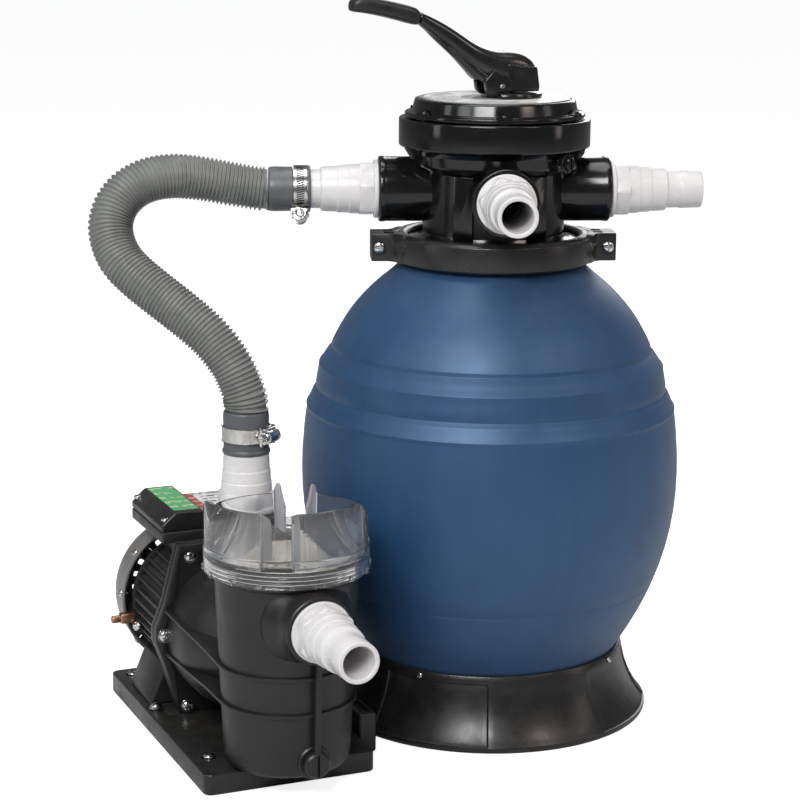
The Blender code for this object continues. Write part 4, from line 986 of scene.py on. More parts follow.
# ------------------------------------------------------------------ hose adaptors
# White PVC adaptors screw into the three valve ports and the two pump ports. Each has a
# thin collar, a hexagon for a wrench, and a tail in two steps for 38 or 32 mm hose.

REACH = 80.6
material, tree, shader, vector = blank("white_pvc")
WHITE_PVC = material
tint = placed(tree, cloudy_tone, vector, Scale=24.0, Colour=(0.66, 0.645, 0.645),
              Shade=(0.60, 0.585, 0.59)).outputs["Colour"]
tint = placed(tree, dust_film, vector, Colour=tint, Amount=0.06).outputs["Colour"]
tree.links.new(tint, shader.inputs["Base Color"])
touched = placed(tree, handling, vector, Clean=0.24, Worn=0.40, Smear_scale=50.0)
tree.links.new(touched.outputs["Roughness"], shader.inputs["Roughness"])
skin = placed(tree, mould_skin, vector, Grain=500.0, Waves=60.0, Wave_share=1.0)
bump = tree.nodes.new("ShaderNodeBump")
bump.inputs["Distance"].default_value = 0.00005
tree.links.new(skin.outputs["Height"], bump.inputs["Height"])
tree.links.new(bump.outputs["Normal"], shader.inputs["Normal"])
shader.inputs["Subsurface Weight"].default_value = 0.12
shader.inputs["Subsurface Scale"].default_value = 0.004
shader.inputs["Subsurface Radius"].default_value = (1.0, 0.9, 0.85)

thread = []
for i in range(7):
    z = 0.2 - 2.0 * i
    thread += [(19.4, z), (19.4, z - 0.5), (18.5, z - 1.0), (18.5, z - 1.5)]
outline = [(16.5, REACH - 0.6), (16.75, 70.0), (16.9, 62.0), (16.5, 61.4), (16.7, 50.2), (18.6, 49.4),
           (19.0, 48.4), (19.4, 44.0), (19.5, 36.0), (20.2, 35.2), (20.5, 26.0), (21.1, 25.2), (21.3, 17.6),
           (21.4, 4.6), (24.4, 4.2), (24.9, 3.4), (24.9, 1.2), (24.3, 0.4), (19.4, 0.4), *thread[2:],
           (18.2, -13.8), (13.4, -13.8), (12.8, -12.8), (12.8, REACH - 1.0), (13.6, REACH), (16.0, REACH)]
adaptor = softened(turned("adaptor", outline, 96), 0.4, 2, 14.0)
wrench = round_bar("wrench", 24.6, 4.0, 16.8, 6)
softened(wrench, 1.4, 3, 40.0)
crown = turned("crown", [(26.0, 20.0), (26.0, 2.0), (24.9, 2.0), (23.4, 17.4), (20.0, 20.0)], 96)
core = round_bar("core", 17.0, -5.0, 30.0, 48)
cut(wrench, crown, core)
united(adaptor, wrench)
parting = [softened(block("line", (side * 16.4 - 0.25, -0.35, 52.0), (side * 16.4 + 0.25, 0.35, 60.0)),
                    0.1, 1) for side in (-1, 1)]
adaptor = united(adaptor, *parting)

for node, frame_of, at, turn in (
        ("adaptor_right", TANK, (PORT_REACH, 0, PORT_Z), ALONG_X),
        ("adaptor_left", TANK, (-PORT_REACH, 0, PORT_Z), ALONG_MINUS_X),
        ("adaptor_front", TANK, (0, -PORT_REACH, PORT_Z), ALONG_MINUS_Y),
        ("adaptor_suction", PUMP, (0, -76.0, 150.5), ALONG_MINUS_Y),
        ("adaptor_discharge", PUMP, (0, 96.0, 205.0), (0, 0, 0))):
    place = Matrix.Translation(at) @ Euler([math.radians(angle) for angle in turn]).to_matrix().to_4x4()
    twist = Matrix.Rotation(math.radians({"adaptor_left": 12.0, "adaptor_front": 20.0}.get(node, 0.0)),
                            4, "Z")
    fitted(copied(adaptor, node + "_tail", place @ twist), frame_of, WHITE_PVC, "root", "white_pvc", node)
bpy.data.objects.remove(adaptor)

# ------------------------------------------------------------------ pump base
# A moulded black tray on its own skirt, with a raised pad that the pump's foot is screwed
# to and a cradle for the motor. A short coupler keeps it beside the tank's base.

BASE_FRONT, BASE_BACK, BASE_HALF, BASE_H = -11.0, 262.0, 74.0, 17.5
corner = 7.0
outline = []
for x, y, start in ((BASE_HALF, BASE_FRONT, -90.0), (BASE_HALF, BASE_BACK, 0.0),
                    (-BASE_HALF, BASE_BACK, 90.0), (-BASE_HALF, BASE_FRONT, 180.0)):
    outline += arc((x - math.copysign(corner, x), y + (corner if y < 0 else -corner)), corner, start,
                   start + 90.0, 5)
tray = plate("pump_tray", outline, 0.0, BASE_H)
bpy.ops.object.mode_set(mode="EDIT")
mesh = bmesh.from_edit_mesh(tray.data)
for face in mesh.faces:
    face.select_set(face.normal.z > 0.9)
bmesh.update_edit_mesh(tray.data)
bpy.ops.transform.resize(value=(0.965, 0.982, 1.0),
                         center_override=(0, 0.5 * (BASE_FRONT + BASE_BACK), BASE_H))
bpy.ops.mesh.inset(thickness=3.2, depth=0.0)
bpy.ops.mesh.inset(thickness=1.2, depth=-1.6)
mesh = bmesh.from_edit_mesh(tray.data)
for face in mesh.faces:
    face.select_set(face.normal.z < -0.9)
bmesh.update_edit_mesh(tray.data)
bpy.ops.mesh.inset(thickness=5.0, depth=0.0)
bpy.ops.mesh.extrude_region_move(TRANSFORM_OT_translate={"value": (0.0, 0.0, BASE_H - 5.5)})
bpy.ops.object.mode_set(mode="OBJECT")
softened(tray, 1.1, 3, 25.0)
pad = softened(block("pad", (-60.0, 134.0, 12.0), (60.0, 160.0, 18.6)), 1.2, 2)
united(tray, pad)
fitted(tray, PUMP, satin_black, "root", "satin_black", "pump_base", smooth=30.0)

# the cradle: sloped cheeks under the motor, with ribs between them
AXIS_Z, MOTOR_R = 90.0, 60.0
seat = MOTOR_R + 0.9
rise = math.degrees(math.acos((AXIS_Z - 52.0) / seat))
half_top = seat * math.sin(math.radians(rise)) + 5.0
cradle_outline = [(-67.0, 18.0), (67.0, 18.0), (65.0, 22.0), (half_top, 52.0),
                  *arc((0.0, AXIS_Z), seat, -90.0 + rise, -90.0 - rise, 25), (-half_top, 52.0), (-65.0, 22.0)]
cradle = plate("motor_cradle", cradle_outline, -224.0, -162.0, turn=ALONG_MINUS_Y)
softened(cradle, 1.3, 3, 40.0)
fitted(cradle, PUMP, satin_black, "root", "satin_black", "motor_foot", smooth=35.0)

# ------------------------------------------------------------------ pump housing
# The strainer pot, the volute behind it and the outlet are one moulding in glass-filled
# black plastic, ribbed against pressure. Its rear flange is bolted to the motor's bracket.

POT_LOW, POT_HIGH, POT_FOOT_R, POT_TOP_R = 18.6, 181.0, 51.5, 58.5
PLATE_Y, VOLUTE_R = 139.0, 61.0


def pot_radius(height):
    return POT_FOOT_R + (POT_TOP_R - POT_FOOT_R) * (height - POT_LOW) / (POT_HIGH - POT_LOW)


pump_black = moulded("pump_black", (0.0070, 0.0064, 0.0062), (0.0108, 0.0100, 0.0095), gloss=(0.34, 0.48),
                     tone=26.0, grain=1800.0, depth=0.00005, waves=24.0, wave_share=1.2, dust=0.05)
outline = [(0.0, POT_LOW), (34.0, POT_LOW), *arc((POT_FOOT_R - 9.0, POT_LOW + 9.0), 9.0, -80.0, 0.0, 8),
           *[(pot_radius(z), z) for z in (44.0, 72.0, 76.0, 103.0, 107.0, 140.0, 160.0, 176.5)],
           (61.0, 178.5), (61.5, 180.0), (61.5, 189.2), (61.0, 190.0), (55.6, 190.0), (54.9, 189.0),
           (54.5, 181.0), (48.0, 26.0), (0.0, 23.6)]
pot = softened(turned("pump_casing", outline, 144), 0.6, 2, 20.0)

volute = [(0.0, PLATE_Y - 2.0), (VOLUTE_R, PLATE_Y - 2.0), (VOLUTE_R + 0.3, 116.0), (60.6, 96.0),
          (58.4, 84.0), (54.5, 73.0), (49.0, 62.0), (44.0, 52.0), (40.0, 40.0), (37.0, 28.0), (0.0, 28.0)]
volute = turned("volute", volute, 120, (0, 0, AXIS_Z), ALONG_Y)
outlet_tower = turned("outlet_tower", [(0.0, 204.8), (26.9, 204.8), (27.75, 203.8), (27.75, 190.0),
                                       (27.2, 189.0), (27.0, 60.0), (0.0, 60.0)], 96, (0, 96.0, 0))
nozzle = turned("inlet", [(0.0, 76.0), (26.9, 76.0), (27.75, 75.2), (27.75, 66.0), (28.2, 62.0),
                          (30.5, 57.0), (34.5, 53.0), (38.0, 48.0), (38.0, 30.0), (0.0, 30.0)], 96,
                (0, 0, 150.5), ALONG_MINUS_Y)


def flange_outline(grow):
    """The rear flange: six-sided, with a flat foot and a round ear at each bolt."""
    side, top, foot = 70.0 + grow, AXIS_Z + 78.0 + grow, 18.5
    return [(-50.0, foot), (50.0, foot), (side - 8.0, 62.0), (side, 84.0), (side, 96.0),
            (side - 9.0, 118.0), (48.0, top), (-48.0, top), (-side + 9.0, 118.0), (-side, 96.0),
            (-side, 84.0), (-side + 8.0, 62.0)]


rim_plate = softened(plate("flange", flange_outline(0.0), -PLATE_Y, 8.0 - PLATE_Y, turn=ALONG_MINUS_Y),
                     0.8, 2)
sunk = plate("sunk", flange_outline(-7.5), 5.8 - PLATE_Y, 12.0 - PLATE_Y, turn=ALONG_MINUS_Y)
cut(rim_plate, sunk)
housing = united(pot, volute, outlet_tower, nozzle, rim_plate)

# belts of rib run round the pot and back along both sides to the flange
for z, back_x, back_z in ((105.0, 63.0, 112.0), (74.0, 63.0, 74.0)):
    r = pot_radius(z) + 2.8
    belt = plate("belt", [(-back_x, 138.0), (-back_x + 1.0, 120.0), (-r - 0.4, 40.0),
                          *arc((0, 0), r, 180.0, 360.0, 60), (r + 0.4, 40.0), (back_x - 1.0, 120.0),
                          (back_x, 138.0)], z - 1.3, z + 1.3)
    if back_z != z:
        for vertex in belt.data.vertices:
            vertex.co.z += (back_z - z) * min(max(vertex.co.y / 130.0, 0.0), 1.0)
    united(housing, softened(belt, 0.5, 2))
strap = softened(block("strap", (1.4, -62.0, 40.0), (6.4, -40.0, 132.0)), 0.8, 2)
strap.data.transform(Matrix.Translation((0, -51.5, 40.0)) @ Matrix.Rotation(math.radians(2.5), 4, "X")
                     @ Matrix.Translation((0, 53.0, -40.0)))
drain_boss = turned("drain_boss", [(0.0, 53.8), (13.0, 53.8), (14.2, 52.6), (14.6, 44.0), (0.0, 44.0)],
                    64, (4.0, 0, 33.0), ALONG_MINUS_Y)
united(housing, strap, drain_boss)
for tool in (
        turned("pot_room", [(0.0, 200.0), (54.5, 200.0), (54.5, 181.0), (47.6, 24.5), (0.0, 24.5)], 96),
        turned("volute_room", [(0.0, 150.0), (56.0, 150.0), (56.0, 95.0), (50.0, 77.0), (0.0, 77.0)],
               72, (0, 0, AXIS_Z), ALONG_Y),
        round_bar("suction_eye", 17.0, 29.0, 84.0, 48, (0, 0, AXIS_Z), ALONG_Y),
        round_bar("outlet_bore", 19.9, AXIS_Z + 25.0, 220.0, 72, (0, 96.0, 0)),
        round_bar("inlet_bore", 19.9, 40.0, 90.0, 72, (0, 0, 150.5), ALONG_MINUS_Y),
        round_bar("drain_bore", 8.2, 38.0, 70.0, 40, (4.0, 0, 33.0), ALONG_MINUS_Y)):
    cut(housing, tool)
fitted(housing, PUMP, pump_black, "root", "pump_black", "pump_housing", smooth=30.0)

bracket = plate("motor_flange", flange_outline(0.0), -PLATE_Y - 8.3, -PLATE_Y - 0.3, turn=ALONG_MINUS_Y)
cut(softened(bracket, 0.8, 2), round_bar("bracket_eye", 12.0, 120.0, 160.0, 48, (0, 0, AXIS_Z), ALONG_Y))
fitted(bracket, PUMP, pump_black, "root", "pump_black", "motor_bracket", smooth=30.0)

# the flange's bolts: cross-head screws with washers, at its top corners, sides and foot
flange_screw = pan_screw("flange_screw", 5.0, 3.4, 2.6, 9.0)
washer = softened(turned("washer", [(6.2, 0.3), (6.2, -0.7), (2.4, -0.7), (2.4, 0.3)], 40), 0.15, 1)
flange_screw = gathered(flange_screw, washer)
bolts = []
for i, (x, z, depth) in enumerate(((38.0, 157.5, 5.9), (-38.0, 157.5, 5.9), (62.5, 90.0, 8.4),
                                   (-62.5, 90.0, 8.4), (43.0, 24.5, 8.4), (-43.0, 24.5, 8.4))):
    place = (Matrix.Translation((x, PLATE_Y - depth, z)) @ Matrix.Rotation(math.pi / 2, 4, "X")
             @ Matrix.Rotation(0.4 + 0.5 * i, 4, "Z"))
    bolts.append(copied(flange_screw, f"flange_bolt_{i}", place))
fitted(gathered(*bolts), PUMP, chrome, "root", "stainless").name = "flange_bolts"
foot_screws = []
for i, (x, y, z) in enumerate(((-65.0, 152.0, 19.6), (65.0, 152.0, 19.6), (-58.0, 28.0, 17.2),
                               (58.0, 28.0, 17.2), (-58.0, 246.0, 17.2), (58.0, 246.0, 17.2))):
    foot_screws.append(copied(flange_screw, f"foot_screw_{i}", Matrix.Translation((x, y, z))))
bpy.data.objects.remove(flange_screw)
fitted(gathered(*foot_screws), PUMP, chrome, "root", "stainless").name = "base_screws"

# the drain plug: a slotted round head on an O-ringed thread
plug = turned("drain_plug_head", [(0.0, 61.6), (8.6, 61.6), (9.8, 60.8), (11.0, 59.2), (11.0, 55.0),
                                  (10.6, 54.2), (7.2, 54.2), (7.2, 45.0), (0.0, 45.0)], 64, (4.0, 0, 33.0),
              ALONG_MINUS_Y)
softened(plug, 0.4, 2, 25.0)
cut(plug, block("slot", (2.9, -70.0, 18.0), (5.1, -58.6, 50.0)))
fitted(plug, PUMP, pump_black, "drain", "pump_black", "drain_plug", smooth=30.0)

# ------------------------------------------------------------------ strainer lid and basket
# The lid is clear polycarbonate, screwed onto the pot over an O-ring. Four curved hand tabs
# stand on its rim, each with a frosted leg bent in beside a gap. Under it hangs a cream
# basket with rows of holes.

LID_LOW, LID_HIGH, LID_R = 182.0, 205.0, 67.0
FRONT_TAB, REAR_TAB = 243.0, 225.5      # the tops of the hand tabs


def clear(name, frost, colour, through):
    material, tree, shader, vector = blank(name)
    tint = placed(tree, cloudy_tone, vector, Scale=30.0, Colour=colour,
                  Shade=tuple(0.96 * part for part in colour))
    tree.links.new(tint.outputs["Colour"], shader.inputs["Base Color"])
    touched = placed(tree, handling, vector, Clean=frost[0], Worn=frost[1], Smear_scale=34.0)
    tree.links.new(touched.outputs["Roughness"], shader.inputs["Roughness"])
    skin = placed(tree, mould_skin, vector, Grain=420.0, Waves=46.0, Wave_share=2.0)
    bump = tree.nodes.new("ShaderNodeBump")
    bump.inputs["Distance"].default_value = 0.00001
    tree.links.new(skin.outputs["Height"], bump.inputs["Height"])
    tree.links.new(bump.outputs["Normal"], shader.inputs["Normal"])
    shader.inputs["Transmission Weight"].default_value = through
    shader.inputs["IOR"].default_value = 1.38
    return material


clear_plastic = clear("clear_plastic", (0.01, 0.03), (0.995, 0.995, 1.0), 0.98)
frosted = clear("frosted_plastic", (0.28, 0.38), (0.97, 0.97, 0.98), 0.84)

outline = [(0.0, 198.5), (61.2, 198.5), (62.2, 199.2), (62.6, 203.8), (63.4, LID_HIGH), (66.0, LID_HIGH),
           (LID_R, LID_HIGH - 1.0), (LID_R, LID_LOW + 0.6), (66.4, LID_LOW), (63.6, LID_LOW)]
for i in range(3):
    z = 183.2 + 3.4 * i
    outline += [(63.2, z), (62.0, z + 0.9), (62.0, z + 1.7), (63.2, z + 2.6)]
outline += [(63.2, 194.0), (57.5, 194.0), (57.0, 192.4), (54.8, 192.4), (54.2, 194.0), (0.0, 194.0)]
lid = turned("strainer_lid_cap", outline, 144)


def hand_tab(name, turn, flip, peaked, tilt):
    """A curved wall with a leg bent in at one end, as a strip with a height for each step."""
    radius, half, leg, bend = 65.5, 1.3, 20.0, 6.5
    far, near = math.radians(74.0), math.radians(17.5 if peaked else 13.5)
    tall = REAR_TAB if peaked else FRONT_TAB
    steps = 24
    spine = [(Vector((radius * math.cos(far + (near - far) * i / steps),
                      radius * math.sin(far + (near - far) * i / steps))),
              radius * (far - near) * i / steps) for i in range(steps + 1)]
    wall_length = spine[-1][1]
    start = spine[-1][0]
    along = Vector((math.sin(near), -math.cos(near)))
    inward = Vector((-math.cos(math.radians(tilt)), -math.sin(math.radians(tilt))))
    for i in range(1, 7):
        t = i / 6
        point = start + along * bend * (t - t * t * 0.5) + inward * bend * t * t * 0.5
        spine.append((point, wall_length + bend * t))
    corner = spine[-1][0]
    for i in range(1, 11):
        spine.append((corner + inward * leg * i / 10, wall_length + bend + leg * i / 10))

    def top(reach):
        height = tall
        if reach < 13.0:
            height -= 13.0 - math.sqrt(169.0 - (13.0 - reach) ** 2)
        past = reach - wall_length
        if past > 0.0:
            share = min(past / (bend + leg), 1.0)
            if peaked:
                height += (10.5 * math.sin(math.pi * min(share * 1.25, 1.0)) ** 1.4
                           - 5.0 * max(share - 0.8, 0.0) / 0.2)
            else:
                height -= 12.0 * share ** 1.3 + 5.0 * max(share - 0.88, 0.0) / 0.12
        return height

    tab = drawn(name, [(point.x, point.y * flip, 197.0) for point, reach in spine])
    bpy.ops.mesh.extrude_region_move(TRANSFORM_OT_translate={"value": (0.0, 0.0, 15.0)})
    bpy.ops.mesh.normals_make_consistent(inside=False)
    bpy.ops.object.mode_set(mode="OBJECT")
    for vertex in tab.data.vertices:
        if vertex.co.z > 208.0:
            nearest = min(spine,
                          key=lambda step: (step[0].x - vertex.co.x) ** 2
                          + (step[0].y * flip - vertex.co.y) ** 2)
            vertex.co.z = top(nearest[1])
    applied(tab, "SOLIDIFY", thickness=2.0 * half, offset=0.0)
    tab.data.transform(Matrix.Rotation(math.radians(turn), 4, "Z"))
    return softened(tab, 0.4, 2, 50.0)


for i in range(4):
    gathered(lid, hand_tab(f"tab_{i}", -90.0 - 27.0 + (180.0 if i > 1 else 0.0), 1 if i % 2 == 0 else -1,
                           i > 1, (-6.0, 11.0, 26.0, 11.0)[i]))
for i in range(16):
    lug = plate(f"lug_{i}", [(-2.8, LID_LOW + 0.3), (2.8, LID_LOW + 0.3), (0.9, LID_LOW + 4.6),
                             (-0.9, LID_LOW + 4.6)],
                LID_R - 0.8, LID_R + 1.1, turn=ALONG_MINUS_Y)
    lug.data.transform(Matrix.Rotation(math.radians(22.5 * i + 6.0), 4, "Z"))
    gathered(lid, lug)
fitted(lid, PUMP, clear_plastic, "lid", "clear_plastic", "strainer_lid", smooth=34.0)
lid.data.materials.append(frosted)
into_pump = PUMP.inverted()
for polygon in lid.data.polygons:
    centre = into_pump @ polygon.center
    if centre.z > 205.4 and math.hypot(centre.x, centre.y) < 63.4:
        polygon.material_index = 1

seal_rubber = moulded("seal_rubber", (0.010, 0.010, 0.011), (0.016, 0.016, 0.017), gloss=(0.45, 0.60),
                      tone=40.0, grain=900.0, depth=0.00003, waves=60.0, wave_share=0.6, dust=0.12)
ring = turned("pot_o_ring", [(x, z) for x, z in arc((58.5, 191.9), 1.7, 0.0, 340.0, 18)], 120)
fitted(ring, PUMP, seal_rubber, "lid_seal_ring", "seal_rubber", "lid_seal", smooth=60.0)

basket_cream = moulded("basket_cream", (0.78, 0.74, 0.64), (0.68, 0.63, 0.53), gloss=(0.36, 0.50), tone=30.0,
                       grain=700.0, depth=0.00005, waves=40.0, wave_share=1.0, dust=0.18)
outline = [(0.0, 69.0), (34.6, 69.0), (36.0, 70.4), (43.4, 168.6), (44.2, 169.8), (50.6, 175.4),
           (51.4, 176.8), (52.2, 184.4), (53.6, 184.8), (53.9, 184.0), (52.6, 174.4), (51.6, 173.0),
           (46.6, 169.4), (46.0, 168.2), (38.2, 68.0), (36.8, 66.0), (0.0, 66.0)]
cup = turned("basket_cup", outline, 96)
rows = []
for row in range(11):
    z = 79.0 + 8.4 * row
    for i in range(24):
        hole = round_bar("hole", 2.1, 30.0, 60.0, 8)
        hole.data.transform(Matrix.Rotation(math.radians(15.0 * i + 7.5 * (row % 2)), 4, "Z")
                            @ Matrix.Translation((0, 0, z)) @ Matrix.Rotation(math.pi / 2, 4, "X"))
        rows.append(hole)
cut(cup, gathered(*rows))
fitted(cup, PUMP, basket_cream, "basket", "basket_cream", "strainer_basket", smooth=32.0)

# ------------------------------------------------------------------ motor
# A totally enclosed induction motor: a die-cast finned case painted black, a pressed grey
# fan cover over its back, and a plastic terminal box with two stickers on its lid.

CASE_Y0, CASE_Y1, COVER_Y1, FINS = 147.6, 239.0, 279.0, 40
cast_black = moulded("cast_black", (0.0125, 0.0130, 0.0140), (0.0200, 0.0205, 0.0215), gloss=(0.34, 0.50),
                     tone=60.0, grain=1400.0, depth=0.00012, waves=90.0, wave_share=0.8, dust=0.10)
outline = []
for i in range(FINS):
    for offset, radius in ((-3.4, 54.6), (-1.35, 55.4), (-0.95, 60.4), (0.95, 60.4), (1.35, 55.4),
                           (3.4, 54.6)):
        angle = math.radians(360.0 * (i + 0.5) / FINS + offset)
        outline.append((radius * math.cos(angle), radius * math.sin(angle)))
case = plate("finned_case", outline, -CASE_Y1 + 4.0, -CASE_Y0 - 9.0, (0, 0, AXIS_Z), ALONG_MINUS_Y)
for low, high in ((CASE_Y0, CASE_Y0 + 10.0), (CASE_Y1 - 5.0, CASE_Y1)):
    united(case, softened(round_bar("end_ring", 59.6, low, high, 96, (0, 0, AXIS_Z), ALONG_Y), 0.9, 2))
cut(case, round_bar("bore", 53.0, CASE_Y0 + 4.0, CASE_Y1 - 6.0, 96, (0, 0, AXIS_Z), ALONG_Y),
    round_bar("eye", 17.0, 140.0, 250.0, 48, (0, 0, AXIS_Z), ALONG_Y))
fitted(case, PUMP, cast_black, "root", "satin_black", "motor_case", smooth=32.0)

cover_grey = moulded("cover_grey", (0.135, 0.128, 0.122), (0.185, 0.176, 0.168), gloss=(0.30, 0.44),
                     tone=22.0, grain=900.0, depth=0.00004, waves=22.0, wave_share=1.0, dust=0.16, coat=0.3)
outline = [(0.0, COVER_Y1), (50.0, COVER_Y1), (57.0, COVER_Y1 - 0.8), (62.0, COVER_Y1 - 3.0),
           (65.0, COVER_Y1 - 6.5), (66.2, COVER_Y1 - 11.0), (66.8, 250.0), (67.0, 243.0), (68.0, 242.2),
           (68.0, 239.6), (66.0, 239.4), (64.4, 242.0), (64.0, COVER_Y1 - 11.0), (61.0, COVER_Y1 - 5.4),
           (55.0, COVER_Y1 - 3.2), (0.0, COVER_Y1 - 3.0)]
hood = turned("fan_hood", outline, 120, (0, 0, AXIS_Z), ALONG_Y)
softened(hood, 0.5, 2, 30.0)
vents = []
for i in range(24):
    vent = plate("vent", [(-1.5, 17.0), (-1.1, 16.2), (1.1, 16.2), (1.5, 17.0), (2.6, 47.0), (1.8, 48.2),
                          (-1.8, 48.2), (-2.6, 47.0)], -290.0, -270.0)
    vent.data.transform(Matrix.Rotation(math.radians(15.0 * i), 4, "Z"))
    vents.append(moved(vent, (0, 0, AXIS_Z), ALONG_MINUS_Y))
cut(hood, gathered(*vents))
fitted(hood, PUMP, cover_grey, "root", "cover_grey", "fan_cover", smooth=34.0)

cover_screw = pan_screw("cover_screw", 3.6, 2.4, 1.8, 6.0)
screws = []
for i, turn in enumerate((38.0, 142.0, 176.0, 218.0, 322.0)):
    angle = math.radians(turn)
    out = Vector((math.cos(angle), 0.0, math.sin(angle)))
    tilt = out.to_track_quat("Z", "Y").to_matrix().to_4x4()
    screws.append(copied(cover_screw, f"hood_screw_{i}",
                         Matrix.Translation(Vector((0, 247.5, AXIS_Z)) + 66.8 * out) @ tilt))
fitted(gathered(*screws), PUMP, chrome, "root", "stainless").name = "fan_cover_screws"

# the fan: eight flat blades on a plate
star = []
for i in range(8):
    for offset, radius in ((-20.0, 20.0), (-4.0, 26.0), (-2.6, 55.0), (-1.8, 56.0), (1.8, 56.0),
                           (2.6, 55.0), (4.0, 26.0)):
        angle = math.radians(45.0 * i + offset)
        star.append((radius * math.cos(angle), radius * math.sin(angle)))
blades = softened(plate("fan_blades", star, -264.0, -252.0, (0, 0, AXIS_Z), ALONG_MINUS_Y), 0.6, 2)
united(blades, softened(round_bar("fan_disc", 50.0, 250.6, 253.4, 72, (0, 0, AXIS_Z), ALONG_Y), 0.6, 2))
cut(blades, round_bar("eye", 6.3, 240.0, 280.0, 32, (0, 0, AXIS_Z), ALONG_Y))
fitted(blades, PUMP, cast_black, "motor_spindle", "satin_black", "fan", smooth=32.0)

# terminal box: a tray on a neck, and a lid with a hump for the capacitor
BOX_Y0, BOX_Y1 = 175.0, 267.0
tray = softened(block("box_tray", (-50.0, BOX_Y0, 157.8), (50.0, BOX_Y1, 168.0)), 1.6, 3)
neck = softened(block("box_neck", (-34.0, BOX_Y0 + 4.0, 144.0), (34.0, CASE_Y1 - 2.0, 160.0)), 2.0, 2)
united(tray, neck)
cut(tray, round_bar("saddle", 60.6, 100.0, 280.0, 96, (0, 0, AXIS_Z), ALONG_Y))
fitted(tray, PUMP, cast_black, "root", "satin_black", "terminal_box", smooth=32.0)
hump = [(-50.0, 168.3), (50.0, 168.3), (50.0, 176.0), (-6.0, 176.0), (-12.0, 185.0), (-38.0, 185.0),
        (-50.0, 174.0)]
box_lid = softened(plate("box_lid", hump, -BOX_Y1, -BOX_Y0, turn=ALONG_MINUS_Y), 1.8, 4)
fitted(box_lid, PUMP, satin_black, "root", "satin_black", "terminal_lid", smooth=32.0)
corner_screws = []
for i, (x, y) in enumerate(((-45.5, BOX_Y0 + 5.0), (45.5, BOX_Y0 + 5.0), (-45.5, BOX_Y1 - 5.0),
                            (45.5, BOX_Y1 - 5.0))):
    height = 176.2 if x > 0 else 178.0
    corner_screws.append(copied(cover_screw, f"box_screw_{i}", Matrix.Translation((x, y, height))))
bpy.data.objects.remove(cover_screw)
fitted(gathered(*corner_screws), PUMP, chrome, "root", "stainless").name = "terminal_screws"


def sticker(name, outline, height, ground, ink, coarse):
    """A thin printed label: a ground colour with rows of unreadable marks."""
    material, tree, shader, vector = blank(name)
    across = tree.nodes.new("ShaderNodeVectorRotate")
    across.rotation_type = "Z_AXIS"
    across.inputs["Angle"].default_value = -pump_yaw
    tree.links.new(vector, across.inputs["Vector"])
    rows = tree.nodes.new("ShaderNodeTexWave")
    rows.bands_direction = "Y"
    rows.inputs["Scale"].default_value = coarse
    tree.links.new(across.outputs["Vector"], rows.inputs["Vector"])
    row_mask = spread(tree, rows.outputs["Fac"], 0.55, 0.70)
    breaks = noise(tree, across.outputs["Vector"], 190.0, 1.0, 0.4)
    marks = arithmetic(tree, "MULTIPLY", row_mask, spread(tree, breaks, 0.48, 0.56))
    print_colour = blended(tree, marks, ground, ink)
    dusty = placed(tree, dust_film, vector, Colour=print_colour, Amount=0.10).outputs["Colour"]
    tree.links.new(dusty, shader.inputs["Base Color"])
    touched = placed(tree, handling, vector, Clean=0.22, Worn=0.42, Smear_scale=40.0)
    tree.links.new(touched.outputs["Roughness"], shader.inputs["Roughness"])
    label = softened(plate(name, outline, height, height + 0.25), 0.08, 1)
    return fitted(label, PUMP, material, "root", "label_white")


sticker("hump_sticker", [(-36.5, 182.0), (-14.0, 182.0), (-14.0, 262.0), (-36.5, 262.0)], 185.0,
        (0.10, 0.42, 0.17), (0.45, 0.62, 0.30), 20.0)
sticker("rating_strip", [(-3.5, 179.0), (4.5, 179.0), (4.5, 263.0), (-3.5, 263.0)], 176.0,
        (0.42, 0.065, 0.05), (0.60, 0.34, 0.28), 26.0)
sticker("rating_sheet", [(4.5, 179.0), (40.0, 179.0), (40.0, 263.0), (4.5, 263.0)], 176.0, (0.78, 0.78, 0.78),
        (0.12, 0.12, 0.13), 34.0)

# the cable gland, and the copper bonding lug with its screw
gland = turned("gland_body", [(0.0, 65.6), (5.2, 65.6), (6.4, 64.8), (8.2, 62.4), (9.0, 60.0), (9.0, 56.4),
                              (7.6, 55.8), (7.6, 50.2), (0.0, 50.2)], 48, (0, 219.0, 162.6), ALONG_X)
nut = softened(round_bar("gland_nut", 10.8, 51.0, 56.2, 6, (0, 219.0, 162.6), ALONG_X), 0.8, 2)
cut(united(gland, nut), round_bar("cable_way", 3.6, 58.0, 70.0, 32, (0, 219.0, 162.6), ALONG_X))
fitted(softened(gland, 0.3, 2, 40.0), PUMP, satin_black, "root", "satin_black", "cable_gland")

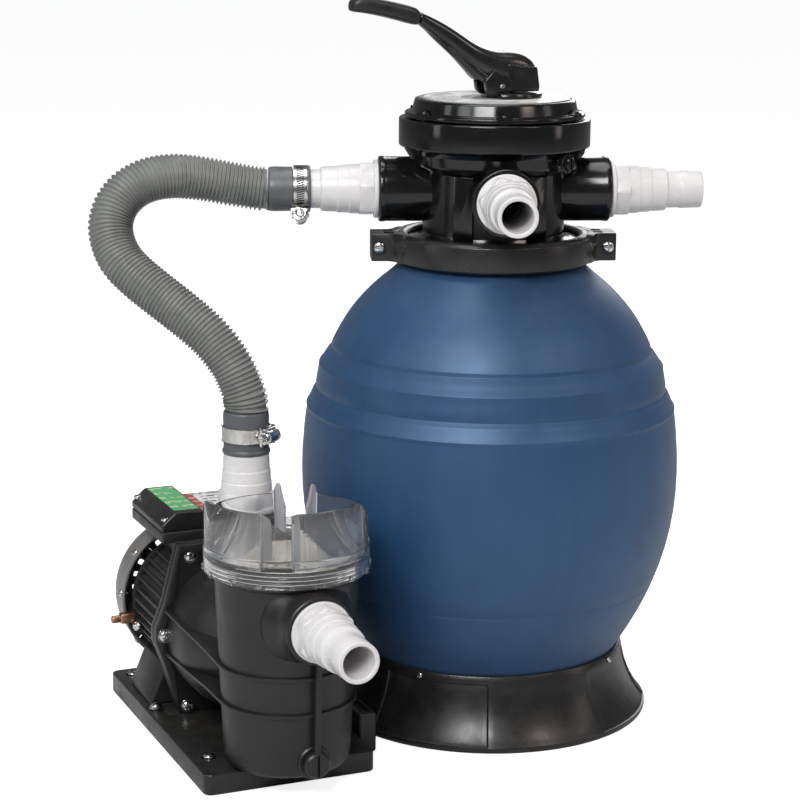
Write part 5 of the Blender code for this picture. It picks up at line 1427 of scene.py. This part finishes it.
brass = brushed("brass", (0.56, 0.30, 0.20), gloss=(0.28, 0.48))
lug = softened(block("lug_block", (-74.5, 222.6, 73.6), (-60.4, 231.4, 82.4)), 1.4, 3)
united(lug, softened(round_bar("lug_wire", 3.4, 60.8, 82.0, 32, (0, 227.0, 77.6), ALONG_MINUS_X), 1.0, 3))
fitted(lug, PUMP, brass, "root", "brass", "bonding_lug")
lug_screw = pan_screw("lug_screw", 4.2, 3.0, 2.2, 8.0)
fitted(copied(lug_screw, "lug_screws",
              Matrix.Translation((-61.0, 218.0, 72.0)) @ Matrix.Rotation(math.radians(-70.0), 4, "Y")
              @ Matrix.Rotation(math.radians(30.0), 4, "X")), PUMP, chrome, "root", "stainless")
bpy.data.objects.remove(lug_screw)

# ------------------------------------------------------------------ base coupler
# A black link moulded as a block with a lip, which keeps the pump's base beside the tank's.

link = softened(block("coupler_link", (74.4, 27.4, 0.4), (90.8, 66.6, 35.6)), 2.6, 4)
recess = softened(block("coupler_recess", (79.0, 33.0, 31.5), (87.0, 61.0, 40.0)), 1.0, 2)
link = cut(link, recess)
link.data.transform(PUMP)
foot_round = round_bar("foot_round", 131.2, -10.0, 30.0, 128, top_radius=122.0)
foot_round.data.transform(TANK)
cut(link, foot_round)
link.data.transform(PUMP.inverted())
fitted(link, PUMP, satin_black, "root", "satin_black", "base_coupler")

# ------------------------------------------------------------------ pieces inside
# The working pieces that the shells hide: the underdrain, the valve's rotor and spring, and
# the motor's core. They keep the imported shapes, and take finishes like those outside.

drain_white = moulded("drain_white", (0.62, 0.61, 0.58), (0.52, 0.50, 0.46), gloss=(0.40, 0.55), tone=30.0,
                      grain=900.0, depth=0.00004, waves=30.0, wave_share=1.0, dust=0.30)
core_steel = brushed("core_steel", (0.30, 0.29, 0.28), gloss=(0.34, 0.52), along="Y")
INSIDE = {
    seal_rubber: ("neck_seal", "spider_gasket", "shaft_seal"),
    drain_white: ("standpipe", "lateral_hub", "impeller"),
    nylon_black: ("valve_rotor",),
    stainless: ("valve_spring", "spring_washer", "front_bearing", "rear_bearing", "motor_shaft"),
    core_steel: ("motor_stator", "motor_rotor")}
for material, nodes in INSIDE.items():
    for node in nodes:
        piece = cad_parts[node]
        piece.data.materials.clear()
        piece.data.materials.append(material)
